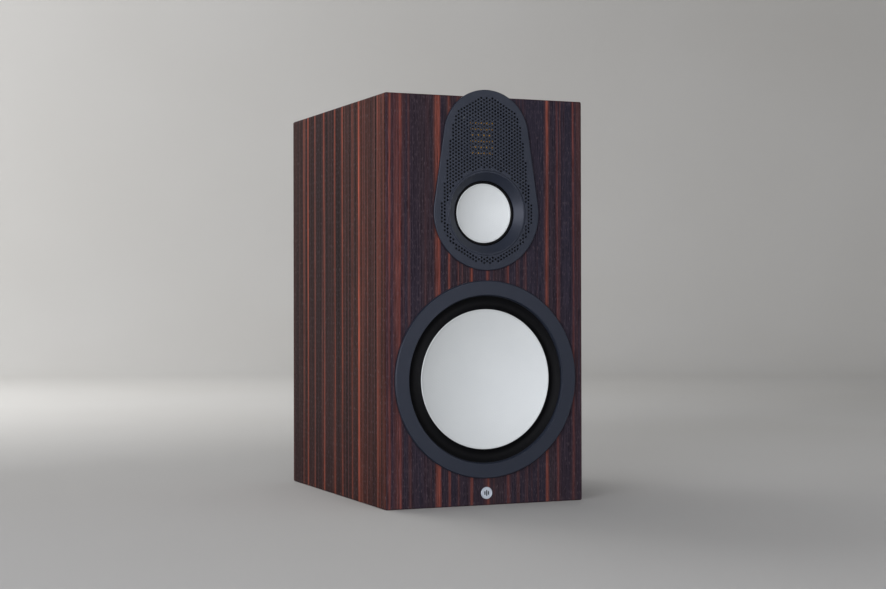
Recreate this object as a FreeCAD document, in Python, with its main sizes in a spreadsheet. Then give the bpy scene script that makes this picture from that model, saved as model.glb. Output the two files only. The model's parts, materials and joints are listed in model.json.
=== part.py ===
"""Three-way bookshelf loudspeaker, as a parametric FreeCAD document.

A veneered cabinet holds an 8-inch woofer and, above it, a keyhole-shaped module with a
3-inch midrange and a pleated-diaphragm tweeter behind a perforated plate.  The plate's round
top stands above the cabinet.  Each driver is pulled in from behind, so the front shows no
screws.  The back has a reflex port, two pairs of binding posts and the heads of the tie bolts.

Millimetres.  The origin is the centre of the cabinet's underside, +Z is up and the front
faces -Y.  The front parts are drawn with y = 0 on the baffle's face and +y into the cabinet,
and the back parts with y = 0 on the rear panel's outer face and +y outwards.
"""
import FreeCAD
import Part
import Sketcher
import math
import os

Vector = FreeCAD.Vector
Rotation = FreeCAD.Rotation
Placement = FreeCAD.Placement

doc = FreeCAD.newDocument("Speaker")
sheet = doc.addObject("Spreadsheet::Sheet", "Sizes")

SIZES = [
    # cabinet
    ("width", 253.5), ("depth", 345), ("height", 480),
    ("wall", 18), ("baffle", 25), ("rear_wall", 22), ("edge_round", 2),
    ("fit_gap", 0.4),
    ("brace_thick", 18), ("brace_up", 264), ("brace_frame", 26), ("brace_round", 22),
    ("wadding_thick", 14), ("wadding_inset", 12),
    ("magnet_r", 6), ("magnet_thick", 5), ("magnet_skin", 1.2), ("magnet_side", 98),
    ("magnet_low", 35), ("magnet_step", 205),
    ("insert_x", 120), ("insert_y", 190), ("insert_bore_r", 2.5), ("insert_r", 4.2),
    ("insert_deep", 13),
    ("badge_up", 14.5), ("badge_r", 7.1), ("badge_thick", 1.6), ("badge_sunk", 0.8),
    # midrange and tweeter module: plate, frame and where the drivers sit
    ("mid_up", 343.4), ("tweeter_rise", 89), ("crest_rise", 90.3),
    ("plate_low_r", 67.6), ("plate_top_r", 54.4), ("plate_front", 3.4), ("plate_sheet", 1.2),
    ("plate_back", 1.6), ("plate_rim", 7.4), ("plate_round", 1.1),
    ("hole_pitch", 4.16), ("hole_r", 1.3), ("field_inset", 8.8), ("field_mid_r", 52.1),
    ("frame_inset", 2.5), ("frame_step", 17), ("frame_neck", 10), ("frame_deep", 27),
    ("seal_thick", 1), ("neck_top_gap", 1),
    ("field_deep", 3), ("boss_r", 50.6), ("cavity_r", 36), ("cavity_floor", 12.6),
    # midrange
    ("horn_r", 49.8), ("horn_mouth_r", 47.6), ("horn_throat_r", 38.4), ("horn_body_r", 48.2),
    ("horn_deep", 6.4), ("horn_lip", 1.6), ("lip_step", 0.2), ("bond_gap", 0.05),
    ("mid_cone_r", 35), ("mid_dish", 8), ("mid_skin", 0.8),
    ("mid_roll_rise", 1.06), ("mid_roll_skin", 0.5),
    ("mid_flange", 2.4), ("mid_motor_at", 32), ("mid_basket_r", 43.4), ("mid_motor_r", 33),
    ("mid_coil_r", 16), ("mid_gap", 0.5), ("mid_top_plate", 4), ("mid_magnet_thick", 10),
    ("mid_magnet_r", 36), ("mid_magnet_in", 21), ("mid_back_plate", 4), ("mid_spider_at", 22),
    ("pod_r", 49), ("pod_wall", 3), ("pod_deep", 84), ("pod_flange_r", 56),
    ("pod_screw_ring", 52.5), ("boss_out", 10),
    # tweeter
    ("bezel_x", 37), ("bezel_z", 46), ("bezel_wall", 1.2), ("bezel_front", 6.6),
    ("pole_side", 50), ("pole_thick", 2), ("slot_x", 31), ("slot_z", 2.4),
    ("slot_pitch", 7.1), ("amt_side", 44), ("foil_x", 32), ("foil_z", 40),
    ("foil_fold", 4), ("foil_skin", 0.8), ("amt_magnet_thick", 5.4), ("amt_gap", 5),
    ("chamber_deep", 10), ("chamber_wall", 2), ("amt_screw", 23.3),
    # woofer
    ("woofer_up", 148),
    ("ring_r", 116), ("ring_front", 4.2), ("ring_bevel", 1), ("ring_mouth_r", 99.4),
    ("ring_throat_r", 98), ("ring_deep", 1.2), ("ring_lip", -1.6),
    ("seat_r", 112), ("chassis_r", 111.2), ("chassis_hole_r", 101), ("chassis_flange", 4),
    ("roll_outer_r", 97.4), ("roll_rise", 4.94), ("roll_skin", 0.6),
    ("cone_r", 82.3), ("cone_dish", 20), ("cone_skin", 1.5), ("coil_r", 25), ("coil_gap", 0.6),
    ("spider_at", 45), ("spider_r", 75.5), ("motor_at", 72), ("motor_r", 62), ("top_plate", 8),
    ("magnet_ring_r", 75), ("magnet_ring_in", 38), ("magnet_ring_thick", 20),
    ("back_plate", 8), ("yoke_r", 70),
    # tie bolts
    ("tie_r", 4), ("tie_head_r", 6.5), ("tie_head", 8), ("tie_well_r", 11), ("tie_well", 12),
    ("tie_grip", 20),
    # reflex port
    ("port_up", 411), ("port_r", 30), ("port_wall", 3), ("port_flange_r", 47),
    ("port_flange", 3), ("port_flare", 13), ("port_length", 140), ("port_end_flare", 7),
    # terminals
    ("panel_up", 66), ("panel_x", 120), ("panel_z", 84), ("panel_thick", 3),
    ("panel_lap", 10), ("panel_round", 6), ("post_x", 26), ("post_z", 19), ("stud_r", 3.5),
    ("bush_r", 9), ("bush_thick", 3), ("seat_thick", 2.5), ("seat_flange_r", 8),
    ("stud_out", 29), ("stud_in", 14),
    ("banana_r", 2), ("banana_deep", 20), ("thread_gap", 0.06), ("link_thick", 1.5),
    ("link_x", 13), ("collar_r", 7.2), ("collar_thick", 2), ("knob_r", 8.5),
    ("knob_long", 18), ("touch_gap", 0.15),
    # crossover
    ("board_x", 120), ("board_y", 170), ("board_thick", 1.6), ("board_up", 8),
    ("board_shift", 28),
]


def fill_sheet():
    """One row per driving size: its name in column A and its value in column B."""
    for row, (name, value) in enumerate(SIZES, start=1):
        sheet.set(f"A{row}", name)
        sheet.set(f"B{row}", str(value))
        sheet.setAlias(f"B{row}", name)
    doc.recompute()


def bound(text):
    """An expression in which {name} stands for that size in the sheet."""
    return str(text).replace("{", "Sizes.").replace("}", "")


def number(text):
    """The value of such an expression."""
    return float(sheet.evalExpression(bound(text)))


fill_sheet()
nodes = {}

# ---------------------------------------------------------------- sketches and features


def new_body(label, height="0", side="front"):
    """A Body whose own y = 0 is the baffle's face, the rear panel's face or the cabinet's middle."""
    body = doc.addObject("PartDesign::Body", label)
    body.Label = label
    seat(body, height, side)
    return body


def seat(thing, height="0", side="front"):
    """Places a piece drawn in the front, back or cabinet frame."""
    y = {"front": "-{depth} / 2", "back": "{depth} / 2", "cabinet": "0"}[side]
    thing.setExpression("Placement.Base.y", bound(y))
    thing.setExpression("Placement.Base.z", bound(height))


def keep(label, thing):
    """Registers a finished piece under the name of its node."""
    thing.Label = label
    nodes[label] = thing
    return thing


def plane_of(body, role):
    return next(f for f in body.Origin.OriginFeatures if f.Role == role)


def new_sketch(body, role="XZ_Plane", at="0"):
    """A sketch on one of the body's planes; XZ_Plane is moved to y = at."""
    sketch = body.newObject("Sketcher::SketchObject", body.Name + "_sketch")
    sketch.AttachmentSupport = [(plane_of(body, role), "")]
    sketch.MapMode = "FlatFace"
    if at != "0":
        sketch.setExpression("AttachmentOffset.Base.z", bound(f"-({at})"))
    return sketch


def constrain(sketch, kind, where, text):
    """Adds a dimension to a sketch and binds it to an expression."""
    index = sketch.addConstraint(Sketcher.Constraint(kind, *where, number(text)))
    sketch.setExpression(f"Constraints[{index}]", bound(text))


def arc_between(p, q, radius, side):
    """The shorter arc from p to q; its centre is left (+1) or right (-1) of the way."""
    chord = q - p
    rise = math.sqrt(max(radius**2 - (chord.Length / 2) ** 2, 0))
    left = Vector(-chord.y, chord.x, 0).normalize()
    centre = (p + q) * 0.5 + left * (side * rise)
    first, last = (p, q) if side > 0 else (q, p)
    start = math.atan2(first.y - centre.y, first.x - centre.x)
    end = math.atan2(last.y - centre.y, last.x - centre.x)
    circle = Part.Circle(centre, Vector(0, 0, 1), radius)
    return Part.ArcOfCircle(circle, start, end)


def draw_outline(sketch, corners):
    """A closed outline.  A corner is (x, y), or (x, y, radius, side) when an arc leaves it."""
    points = [Vector(number(c[0]), number(c[1]), 0) for c in corners]
    ends = []
    for i, corner in enumerate(corners):
        p, q = points[i], points[(i + 1) % len(points)]
        if len(corner) == 4:
            index = sketch.addGeometry(arc_between(p, q, number(corner[2]), corner[3]), False)
            ends.append((index, 1, 2) if corner[3] > 0 else (index, 2, 1))
        else:
            index = sketch.addGeometry(Part.LineSegment(p, q), False)
            ends.append((index, 1, 2))
    for i, (index, first, last) in enumerate(ends):
        after, after_first, _ = ends[(i + 1) % len(ends)]
        sketch.addConstraint(Sketcher.Constraint("Coincident", index, last, after, after_first))
        constrain(sketch, "DistanceX", (-1, 1, index, first), corners[i][0])
        constrain(sketch, "DistanceY", (-1, 1, index, first), corners[i][1])
        if len(corners[i]) == 4:
            constrain(sketch, "Radius", (index,), corners[i][2])


def draw_circle(sketch, x, z, radius):
    centre = Vector(number(x), number(z), 0)
    index = sketch.addGeometry(Part.Circle(centre, Vector(0, 0, 1), number(radius)), False)
    constrain(sketch, "DistanceX", (-1, 1, index, 3), x)
    constrain(sketch, "DistanceY", (-1, 1, index, 3), z)
    constrain(sketch, "Radius", (index,), radius)


def draw_rectangle(sketch, x0, z0, x1, z1):
    draw_outline(sketch, [(x0, z0), (x1, z0), (x1, z1), (x0, z1)])


def draw_keyhole(sketch, inset):
    """The module's outline, inset all round: a large circle about the midrange's axis, a smaller
    one above it, and the two lines that touch both."""
    low, top = f"{{plate_low_r}} - ({inset})", f"{{plate_top_r}} - ({inset})"
    rise = number("{crest_rise}")
    lean = math.asin((number(low) - number(top)) / rise)
    right = Vector(math.cos(lean), math.sin(lean), 0)
    left = Vector(-right.x, right.y, 0)
    up, z_axis = Vector(0, rise, 0), Vector(0, 0, 1)
    low_circle = Part.Circle(Vector(0, 0, 0), z_axis, number(low))
    top_circle = Part.Circle(up, z_axis, number(top))
    low_arc = sketch.addGeometry(
        Part.ArcOfCircle(low_circle, math.pi - lean, 2 * math.pi + lean), False)
    top_arc = sketch.addGeometry(Part.ArcOfCircle(top_circle, lean, math.pi - lean), False)
    right_line = sketch.addGeometry(
        Part.LineSegment(right * number(low), up + right * number(top)), False)
    left_line = sketch.addGeometry(
        Part.LineSegment(up + left * number(top), left * number(low)), False)
    for ends in ((low_arc, 2, right_line, 1), (right_line, 2, top_arc, 1),
                 (top_arc, 2, left_line, 1), (left_line, 2, low_arc, 1)):
        sketch.addConstraint(Sketcher.Constraint("Tangent", *ends))
    sketch.addConstraint(Sketcher.Constraint("Coincident", low_arc, 3, -1, 1))
    sketch.addConstraint(Sketcher.Constraint("PointOnObject", top_arc, 3, -2))
    constrain(sketch, "DistanceY", (-1, 1, top_arc, 3), "{crest_rise}")
    constrain(sketch, "Radius", (low_arc,), low)
    constrain(sketch, "Radius", (top_arc,), top)


def pad(body, sketch, length):
    """Adds material towards -y from a sketch on XZ_Plane."""
    feature = body.newObject("PartDesign::Pad", body.Name + "_pad")
    feature.Profile = sketch
    feature.setExpression("Length", bound(length))
    return feature


def pocket(body, sketch, length):
    """Removes material towards +y from a sketch on XZ_Plane."""
    feature = body.newObject("PartDesign::Pocket", body.Name + "_pocket")
    feature.Profile = sketch
    feature.Type = "Length"
    feature.setExpression("Length", bound(length))
    return feature


def spin(body, corners):
    """Revolves an outline of (radius, y) corners about the y axis."""
    sketch = new_sketch(body, "XY_Plane")
    draw_outline(sketch, corners)
    feature = body.newObject("PartDesign::Revolution", body.Name + "_turn")
    feature.Profile = sketch
    feature.ReferenceAxis = (sketch, ["V_Axis"])
    feature.Angle = 360
    return feature


def turned(label, corners, height="0", side="front"):
    """A node made by one revolution."""
    body = new_body(label, height, side)
    spin(body, corners)
    return keep(label, body)


def tube(label, inner, outer, near, far, height="0", side="front"):
    """A node that is a plain ring or tube about the y axis."""
    return turned(label, [(inner, near), (outer, near), (outer, far), (inner, far)], height, side)


def polar(body, feature, count):
    """Repeats a feature evenly about the y axis."""
    doc.recompute()
    pattern = body.newObject("PartDesign::PolarPattern", body.Name + "_polar")
    pattern.Originals = [feature]
    pattern.Axis = (plane_of(body, "Y_Axis"), [""])
    pattern.Angle = 360
    pattern.Occurrences = count
    body.Tip = pattern
    return pattern


def round_edges(body, radius, chosen):
    """Fillets the edges of the body's last feature for which chosen(edge) is true."""
    doc.recompute()
    base = body.Tip
    names = [f"Edge{i}" for i, e in enumerate(base.Shape.Edges, start=1) if chosen(e)]
    fillet = body.newObject("PartDesign::Fillet", body.Name + "_round")
    fillet.Base = (base, names)
    fillet.setExpression("Radius", bound(radius))
    return fillet


def lies_at(axis, text):
    """A test for edges that lie wholly in the plane axis = text of their own body."""
    value = number(text)
    return lambda edge: all(abs(getattr(v.Point, axis) - value) < 1e-4 for v in edge.Vertexes)


# ---------------------------------------------------------------- primitives and booleans


def box(label, x, y, z):
    """A box from three (low, high) pairs of expressions."""
    made = doc.addObject("Part::Box", label)
    for side, size, (low, high) in (("x", "Length", x), ("y", "Width", y), ("z", "Height", z)):
        made.setExpression(size, bound(f"({high}) - ({low})"))
        made.setExpression(f"Placement.Base.{side}", bound(low))
    return made


def rod(label, radius, x, y, z):
    """A cylinder along whichever of x, y and z is a (low, high) pair."""
    made = doc.addObject("Part::Cylinder", label)
    made.setExpression("Radius", bound(radius))
    spans = {"x": x, "y": y, "z": z}
    turn = {"x": Rotation(Vector(0, 1, 0), 90), "y": Rotation(Vector(1, 0, 0), -90),
            "z": Rotation()}
    for side, span in spans.items():
        if isinstance(span, tuple):
            made.Placement = Placement(Vector(), turn[side])
            made.setExpression("Height", bound(f"({span[1]}) - ({span[0]})"))
    for side, span in spans.items():
        low = span[0] if isinstance(span, tuple) else span
        made.setExpression(f"Placement.Base.{side}", bound(low))
    return made


def group(label, members):
    """Several separate solids as one object."""
    made = doc.addObject("Part::Compound", label)
    made.Links = members
    return made


def minus(label, base, tools):
    """A piece with one or more tools cut out of it."""
    made = doc.addObject("Part::Cut", label)
    made.Base = base
    made.Tool = tools[0] if len(tools) == 1 else group(label + "_tools", tools)
    return made


def common(label, base, tool):
    made = doc.addObject("Part::Common", label)
    made.Base = base
    made.Tool = tool
    return made


def mirrored_pairs(x, z):
    """The four corners (x, z) of a rectangle about the origin, as expressions."""
    return [(f"{a}({x})", f"{b}({z})") for a in ("", "-") for b in ("", "-")]


# ---------------------------------------------------------------- cabinet


def mitred(label, half_x, low_z, high_z, thick, in_x, in_z, rotation, base):
    """One board of the box, mitred on all four edges.  It is drawn with its outer face at y = 0:
    in_x and in_z are how far each end of the inner face stands in from the outer one."""
    board = doc.addObject("Part::Wedge", label + "_board")
    for name, text in (
            ("Xmin", f"-({half_x})"), ("Xmax", half_x), ("Zmin", low_z), ("Zmax", high_z),
            ("Ymin", "0"), ("Ymax", thick),
            ("X2min", f"-({half_x}) + {in_x[0]}"), ("X2max", f"({half_x}) - {in_x[1]}"),
            ("Z2min", f"({low_z}) + {in_z[0]}"), ("Z2max", f"({high_z}) - {in_z[1]}")):
        board.setExpression(name, bound(text))
    board.Placement = Placement(Vector(), rotation)
    for side, text in zip("xyz", base):
        board.setExpression(f"Placement.Base.{side}", bound(text))
    return common(label + "_blank", board, rounded_box)


def make_rounded_box():
    """The outside of the cabinet with all its edges rounded; each board is cut from it."""
    body = new_body("rounded_box", side="cabinet")
    sketch = new_sketch(body, "XY_Plane")
    draw_rectangle(sketch, "-{width} / 2", "-{depth} / 2", "{width} / 2", "{depth} / 2")
    pad(body, sketch, "{height}")
    round_edges(body, "{edge_round}", lambda edge: True)
    doc.recompute()
    return body


def keyhole_cutter(label, inset, near, far):
    """A keyhole-shaped tool between two depths of the front."""
    body = new_body(label, "{mid_up}")
    sketch = new_sketch(body, at=far)
    draw_keyhole(sketch, inset)
    pad(body, sketch, f"({far}) - ({near})")
    return body


FRONT = "-{depth} / 2"
BACK = "{depth} / 2"
CEILING = "{height} - {wall}"
NECK_TOP = "{height} - {wall} - {neck_top_gap}"
MID_SEAT = "({horn_deep} + {mid_roll_skin} + {mid_flange})"
CHASSIS_AT = "({ring_deep} + {roll_skin})"
CHASSIS_SEAT = "({ring_deep} + {roll_skin} + {chassis_flange} + {seal_thick})"


def module_opening():
    """What the module's frame and its narrower neck take out of the boards."""
    frame = keyhole_cutter("frame_opening", "{frame_inset} - {fit_gap}",
                           "-{plate_front}", "{frame_step} + {seal_thick}")
    neck = keyhole_cutter("neck_opening", "{frame_neck} - {fit_gap}",
                          "{frame_step}", "{frame_deep} + 1")
    below = box("neck_below", ("-{width} / 2", "{width} / 2"), (FRONT, "0"),
                ("0", NECK_TOP + " + {fit_gap}"))
    return frame, common("neck_clipped", neck, below)


def magnet_places():
    return [(side + "{magnet_side}", f"{{magnet_low}} + {i} * {{magnet_step}}")
            for side in ("", "-") for i in range(3)]


def front_baffle():
    blank = mitred("front_baffle", "{width} / 2", "0", "{height}", "{baffle}",
                   ("{wall}", "{wall}"), ("{wall}", "{wall}"), Rotation(), ("0", FRONT, "0"))
    frame, neck = module_opening()
    woofer = rod("woofer_opening", "{chassis_hole_r}", "0",
                 (FRONT + " - 1", FRONT + " + {baffle} + 1"), "{woofer_up}")
    rebate = rod("woofer_rebate", "{seat_r}", "0",
                 (FRONT + " - 1", f"{FRONT} + {CHASSIS_SEAT}"), "{woofer_up}")
    badge = rod("badge_recess", "{badge_r} + {fit_gap} / 2", "0",
                (FRONT + " - 1", FRONT + " + {badge_sunk}"), "{badge_up}")
    wells = [rod("magnet_well", "{magnet_r} + {fit_gap} / 4", x,
                 (FRONT + " + {magnet_skin}", FRONT + " + {baffle} + 1"), z)
             for x, z in magnet_places()]
    keep("front_baffle", minus("front_baffle", blank,
                               [group("driver_openings", [woofer, rebate]), frame, neck, badge]
                               + wells))
    return frame


def top_panel(frame_opening):
    rotation = Rotation(Vector(1, 0, 0), -90)
    blank = mitred("top_panel", "{width} / 2", FRONT, BACK, "{wall}", ("{wall}", "{wall}"),
                   ("{baffle}", "{rear_wall}"), rotation, ("0", "0", "{height}"))
    keep("top_panel", minus("top_panel", blank, [frame_opening]))


def insert_places():
    return mirrored_pairs("{insert_x} / 2", "{insert_y} / 2")


def board_screw_places():
    return mirrored_pairs("{board_x} / 2 - 5", "{board_y} / 2 - 5")


def bottom_panel():
    rotation = Rotation(Vector(1, 0, 0), 90)
    blank = mitred("bottom_panel", "{width} / 2", FRONT, BACK, "{wall}", ("{wall}", "{wall}"),
                   ("{rear_wall}", "{baffle}"), rotation, ("0", "0", "0"))
    holes = [rod("insert_hole", "{insert_r}", x, y, ("-1", "{insert_deep}"))
             for x, y in insert_places()]
    holes += [rod("board_pilot", "1.55", x, f"{{board_shift}} + {y}", ("{wall} - 9", "{wall} + 1"))
              for x, y in board_screw_places()]
    keep("bottom_panel", minus("bottom_panel", blank, holes))


def side_panels():
    for label, x, angle, ends in (
            ("left_side_panel", "-{width} / 2", -90, ("{rear_wall}", "{baffle}")),
            ("right_side_panel", "{width} / 2", 90, ("{baffle}", "{rear_wall}"))):
        keep(label, mitred(label, "{depth} / 2", "0", "{height}", "{wall}", ends,
                           ("{wall}", "{wall}"), Rotation(Vector(0, 0, 1), angle),
                           (x, "0", "0")))


def rear_panel():
    rotation = Rotation(Vector(0, 0, 1), 180)
    blank = mitred("rear_panel", "{width} / 2", "0", "{height}", "{rear_wall}",
                   ("{wall}", "{wall}"), ("{wall}", "{wall}"), rotation, ("0", BACK, "0"))
    through = (BACK + " - {rear_wall} - 1", BACK + " + 1")
    port = rod("port_opening", "{port_r} + {port_flare} - 1.5", "0", through, "{port_up}")
    half_x, half_z = "({panel_x} / 2 - {panel_lap})", "({panel_z} / 2 - {panel_lap})"
    panel = box("panel_opening", (f"-{half_x}", half_x), through,
                (f"{{panel_up}} - {half_z}", f"{{panel_up}} + {half_z}"))
    wells = []
    for height in ("{woofer_up}", "{mid_up}"):
        wells.append(rod("tie_hole", "{tie_r} + {fit_gap}", "0",
                         (through[0], BACK + " - {tie_well}"), height))
        wells.append(rod("tie_well", "{tie_well_r}", "0", (BACK + " - {tie_well}", through[1]),
                         height))
    pilots = [rod("screw_pilot", "1.6", x, (BACK + " - 13", through[1]), f"{{panel_up}} + ({z})")
              for x, z in panel_screw_places()]
    keep("rear_panel", minus("rear_panel", blank, [port, panel] + wells + pilots))


def shelf_brace():
    """A window frame glued across the cabinet between the two front openings."""
    body = new_body("shelf_brace", "{brace_up}", "cabinet")
    sketch = new_sketch(body, "XY_Plane")
    x, front, back = "{width} / 2 - {wall}", FRONT + " + {baffle}", BACK + " - {rear_wall}"
    draw_rectangle(sketch, f"-({x})", front, x, back)
    draw_rectangle(sketch, f"-({x} - {{brace_frame}})", f"{front} + {{brace_frame}}",
                   f"{x} - {{brace_frame}}", f"{back} - {{brace_frame}}")
    pad(body, sketch, "{brace_thick}")
    inside = number("{width} / 2 - {wall} - {brace_frame}")

    def window_corner(edge):
        upright = abs(edge.tangentAt(edge.FirstParameter).z) > 0.9
        return upright and abs(abs(edge.CenterOfMass.x) - inside) < 1e-3

    round_edges(body, "{brace_round}", window_corner)
    keep("shelf_brace", body)


def grille_magnets():
    """Discs set behind a thin skin of the baffle, which hold a cloth grille with no sockets."""
    near = FRONT + " + {magnet_skin}"
    discs = [rod("grille_magnet", "{magnet_r}", x, (near, near + " + {magnet_thick}"), z)
             for x, z in magnet_places()]
    keep("grille_magnets", group("grille_magnets", discs))


def stand_inserts():
    """Threaded brass inserts in the underside."""
    made = []
    for x, y in insert_places():
        sleeve = rod("insert_sleeve", "{insert_r} - 0.02", x, y, ("0", "{insert_deep} - 0.5"))
        bore = rod("insert_bore", "{insert_bore_r}", x, y, ("-1", "{insert_deep} - 2"))
        made.append(minus("stand_insert", sleeve, [bore]))
    keep("stand_inserts", group("stand_inserts", made))


def badge():
    """A plain disc with a raised rim, let into the baffle."""
    rim = "{badge_r} - 1.1"
    turned("badge", [("0", "{badge_sunk} - 0.05"), ("0", "{badge_sunk} - {badge_thick} + 0.35"),
                     (rim, "{badge_sunk} - {badge_thick} + 0.35"),
                     (rim + " + 0.3", "{badge_sunk} - {badge_thick}"),
                     ("{badge_r} - 0.3", "{badge_sunk} - {badge_thick}"),
                     ("{badge_r}", "{badge_sunk} - {badge_thick} + 0.3"),
                     ("{badge_r}", "{badge_sunk} - 0.05")], "{badge_up}")


def wadding():
    """Felt pads on the inside of both sides and behind the module."""
    gap = "{wadding_inset}"
    y = (f"{FRONT} + {{baffle}} + {gap}", f"{BACK} - {{rear_wall}} - {gap}")
    shelf = "{brace_up}"
    wall = "{width} / 2 - {wall}"
    pads = []
    for low, high in (("{wall} + 6 * " + gap, shelf + f" - {gap}"),
                      (shelf + " + {brace_thick} + " + gap, CEILING + f" - {gap}")):
        pads.append(box("wadding_pad", (f"-({wall})", f"-({wall}) + {{wadding_thick}}"), y,
                        (low, high)))
        pads.append(box("wadding_pad", (f"{wall} - {{wadding_thick}}", wall), y, (low, high)))
    keep("wadding", group("wadding", pads))


# ---------------------------------------------------------------- module


def perforation():
    """Round holes on a triangular lattice with upright columns, one hole on the tweeter's axis.
    They fill the keyhole inside its rim and outside the ring about the midrange."""
    pitch, radius, inset = number("{hole_pitch}"), number("{hole_r}"), number("{field_inset}")
    rise, clear = number("{crest_rise}"), number("{field_mid_r}")
    low, top = number("{plate_low_r}") - inset, number("{plate_top_r}") - inset
    lean = math.asin((low - top) / rise)
    near, deep = -number("{plate_front}") - 1, number("{plate_front}") + 2
    step = pitch * math.sqrt(3) / 2
    columns, rows = int(low / step) + 1, int((rise + low + top) / pitch) + 1
    holes = []
    for i in range(-columns, columns + 1):
        for j in range(-rows, rows + 1):
            x, z = i * step, number("{tweeter_rise}") + (j + (i % 2) / 2) * pitch
            beside = abs(x) * math.cos(lean) + z * math.sin(lean) <= low
            within = (math.hypot(x, z) <= low or math.hypot(x, z - rise) <= top
                      or (beside and 0 < z < rise))
            if within and math.hypot(x, z) >= clear:
                holes.append(Part.makeCylinder(radius, deep, Vector(x, near, z),
                                               Vector(0, 1, 0)))
    made = doc.addObject("Part::Feature", "perforation")
    made.Shape = Part.makeCompound(holes)
    seat(made, "{mid_up}")
    return made


def front_plate():
    """The perforated keyhole plate: a thin sheet with a thicker rim, open around the horn."""
    body = new_body("front_plate_blank", "{mid_up}")
    sketch = new_sketch(body, at="-{plate_back}")
    draw_keyhole(sketch, "0")
    draw_circle(sketch, "0", "0", "{horn_r} + {touch_gap}")
    pad(body, sketch, "{plate_front} - {plate_back}")
    hollow = new_sketch(body, at="-{plate_front} + {plate_sheet}")
    draw_keyhole(hollow, "{plate_rim}")
    pocket(body, hollow, "{plate_front}")
    outside = number("{plate_low_r} - 1")
    at_front = lies_at("y", "-{plate_front}")

    def outer_front(edge):
        rim = all(math.hypot(v.X, v.Z) > outside for v in edge.Vertexes)
        return at_front(edge) and rim

    round_edges(body, "{plate_round}", outer_front)
    doc.recompute()
    keep("front_plate", minus("front_plate", body, [perforation()]))


def module_frame():
    """The casting behind the plate: a keyhole with a narrower neck, a shallow field under the
    perforations, a deeper round cavity about the tweeter, and a seat for the midrange."""
    body = new_body("module_frame", "{mid_up}")
    front = new_sketch(body, at="{frame_step}")
    draw_keyhole(front, "{frame_inset}")
    pad(body, front, "{frame_step} + {plate_back}")
    neck = new_sketch(body, at="{frame_deep}")
    draw_keyhole(neck, "{frame_neck}")
    pad(body, neck, "{frame_deep} - {frame_step}")
    field = new_sketch(body, at="-{plate_back}")
    draw_keyhole(field, "{plate_rim}")
    draw_circle(field, "0", "0", "{boss_r}")
    pocket(body, field, "{field_deep}")
    cavity = new_sketch(body, at="-{plate_back}")
    draw_circle(cavity, "0", "{tweeter_rise}", "{cavity_r}")
    pocket(body, cavity, "{cavity_floor} + {plate_back}")
    seat_bore = new_sketch(body, at="-{plate_back}")
    draw_circle(seat_bore, "0", "0", "{horn_body_r} + 0.3")
    pocket(body, seat_bore, f"{MID_SEAT} + {{plate_back}}")
    bore = new_sketch(body, at=MID_SEAT)
    draw_circle(bore, "0", "0", "{mid_basket_r} + 0.6")
    pocket(body, bore, "{frame_deep}")
    window = new_sketch(body, at="{cavity_floor}")
    half = "({amt_side} / 2 + 0.5)"
    draw_rectangle(window, f"-{half}", f"{{tweeter_rise}} - {half}", half,
                   f"{{tweeter_rise}} + {half}")
    pocket(body, window, "{frame_deep}")
    corners = new_sketch(body, at="{cavity_floor} - 1")
    for x, z in mirrored_pairs("{amt_screw}", "{amt_screw}"):
        draw_circle(corners, x, f"{{tweeter_rise}} + {z}", "1.05")
    pocket(body, corners, "6")
    shave = new_sketch(body, at="{frame_step}")
    draw_rectangle(shave, "-{plate_low_r}", f"{NECK_TOP} - {{mid_up}}", "{plate_low_r}",
                   "{crest_rise} + {plate_top_r}")
    pocket(body, shave, "{frame_deep}")
    pilot = new_sketch(body, at="{frame_deep} - 8")
    draw_circle(pilot, "{pod_screw_ring}", "0", "1.55")
    polar(body, pocket(body, pilot, "9"), 6)
    keep("module_frame", body)


def gaskets():
    """Foam seals: one behind the module's step, one behind the woofer's flange."""
    seal = new_body("module_seal", "{mid_up}")
    sketch = new_sketch(seal, at="{frame_step} + {seal_thick} - 0.02")
    draw_keyhole(sketch, "{frame_inset} + 0.3")
    draw_keyhole(sketch, "{frame_neck} - 0.3")
    pad(seal, sketch, "{seal_thick} - 0.04")
    ring = new_body("woofer_seal", "{woofer_up}")
    far = CHASSIS_SEAT + " - 0.02"
    spin(ring, [("{chassis_hole_r} + 0.5", far), ("{chassis_r}", far),
                ("{chassis_r}", far + " - {seal_thick} + 0.04"),
                ("{chassis_hole_r} + 0.5", far + " - {seal_thick} + 0.04")])
    keep("sealing_gaskets", group("sealing_gaskets", [seal, ring]))


# ---------------------------------------------------------------- parts common to the drivers


def dish(label, radius, edge, sag, skin, height):
    """A cone with no cap: a shallow bowl of even skin with a small bead round its rim."""
    sphere = f"((({radius})^2 + ({sag})^2) / (2 * ({sag})))"
    rim = f"({radius} - 1.6)"
    front = f"({edge} + {sag} - {sphere} + sqrt({sphere}^2 - {rim}^2))"
    turned(label, [("0", f"{edge} + {sag}", sphere, -1), (rim, front),
                   (f"{radius} - 0.6", f"{edge} - 0.5"), (radius, edge),
                   (radius, f"{edge} + {skin}"), (rim, f"{front} + {skin}", sphere, 1),
                   ("0", f"{edge} + {sag} + {skin}")], height)


def roll(label, inner, outer, at, rise, skin, land, height, hollow=False):
    """A half-roll surround: an even skin bent in an arc, forwards or (hollow) backwards, with a
    flat outer land."""
    half = f"(({outer} - ({inner})) / 2)"
    radius = f"({half} * {half} + {rise} * {rise}) / (2 * {rise})"
    back = f"{at} + {skin}"
    near, far = f"{inner} + {skin} * 0.8", f"{outer} - {skin} * 0.8"
    if hollow:
        corners = [(inner, at), (near, at, f"{radius} - {skin}", -1), (far, at), (land, at),
                   (land, back), (outer, back, radius, 1), (inner, back)]
    else:
        corners = [(inner, at, radius, 1), (outer, at), (land, at), (land, back),
                   (far, back, f"{radius} - {skin}", -1), (near, back), (inner, back)]
    turned(label, corners, height)


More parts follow.
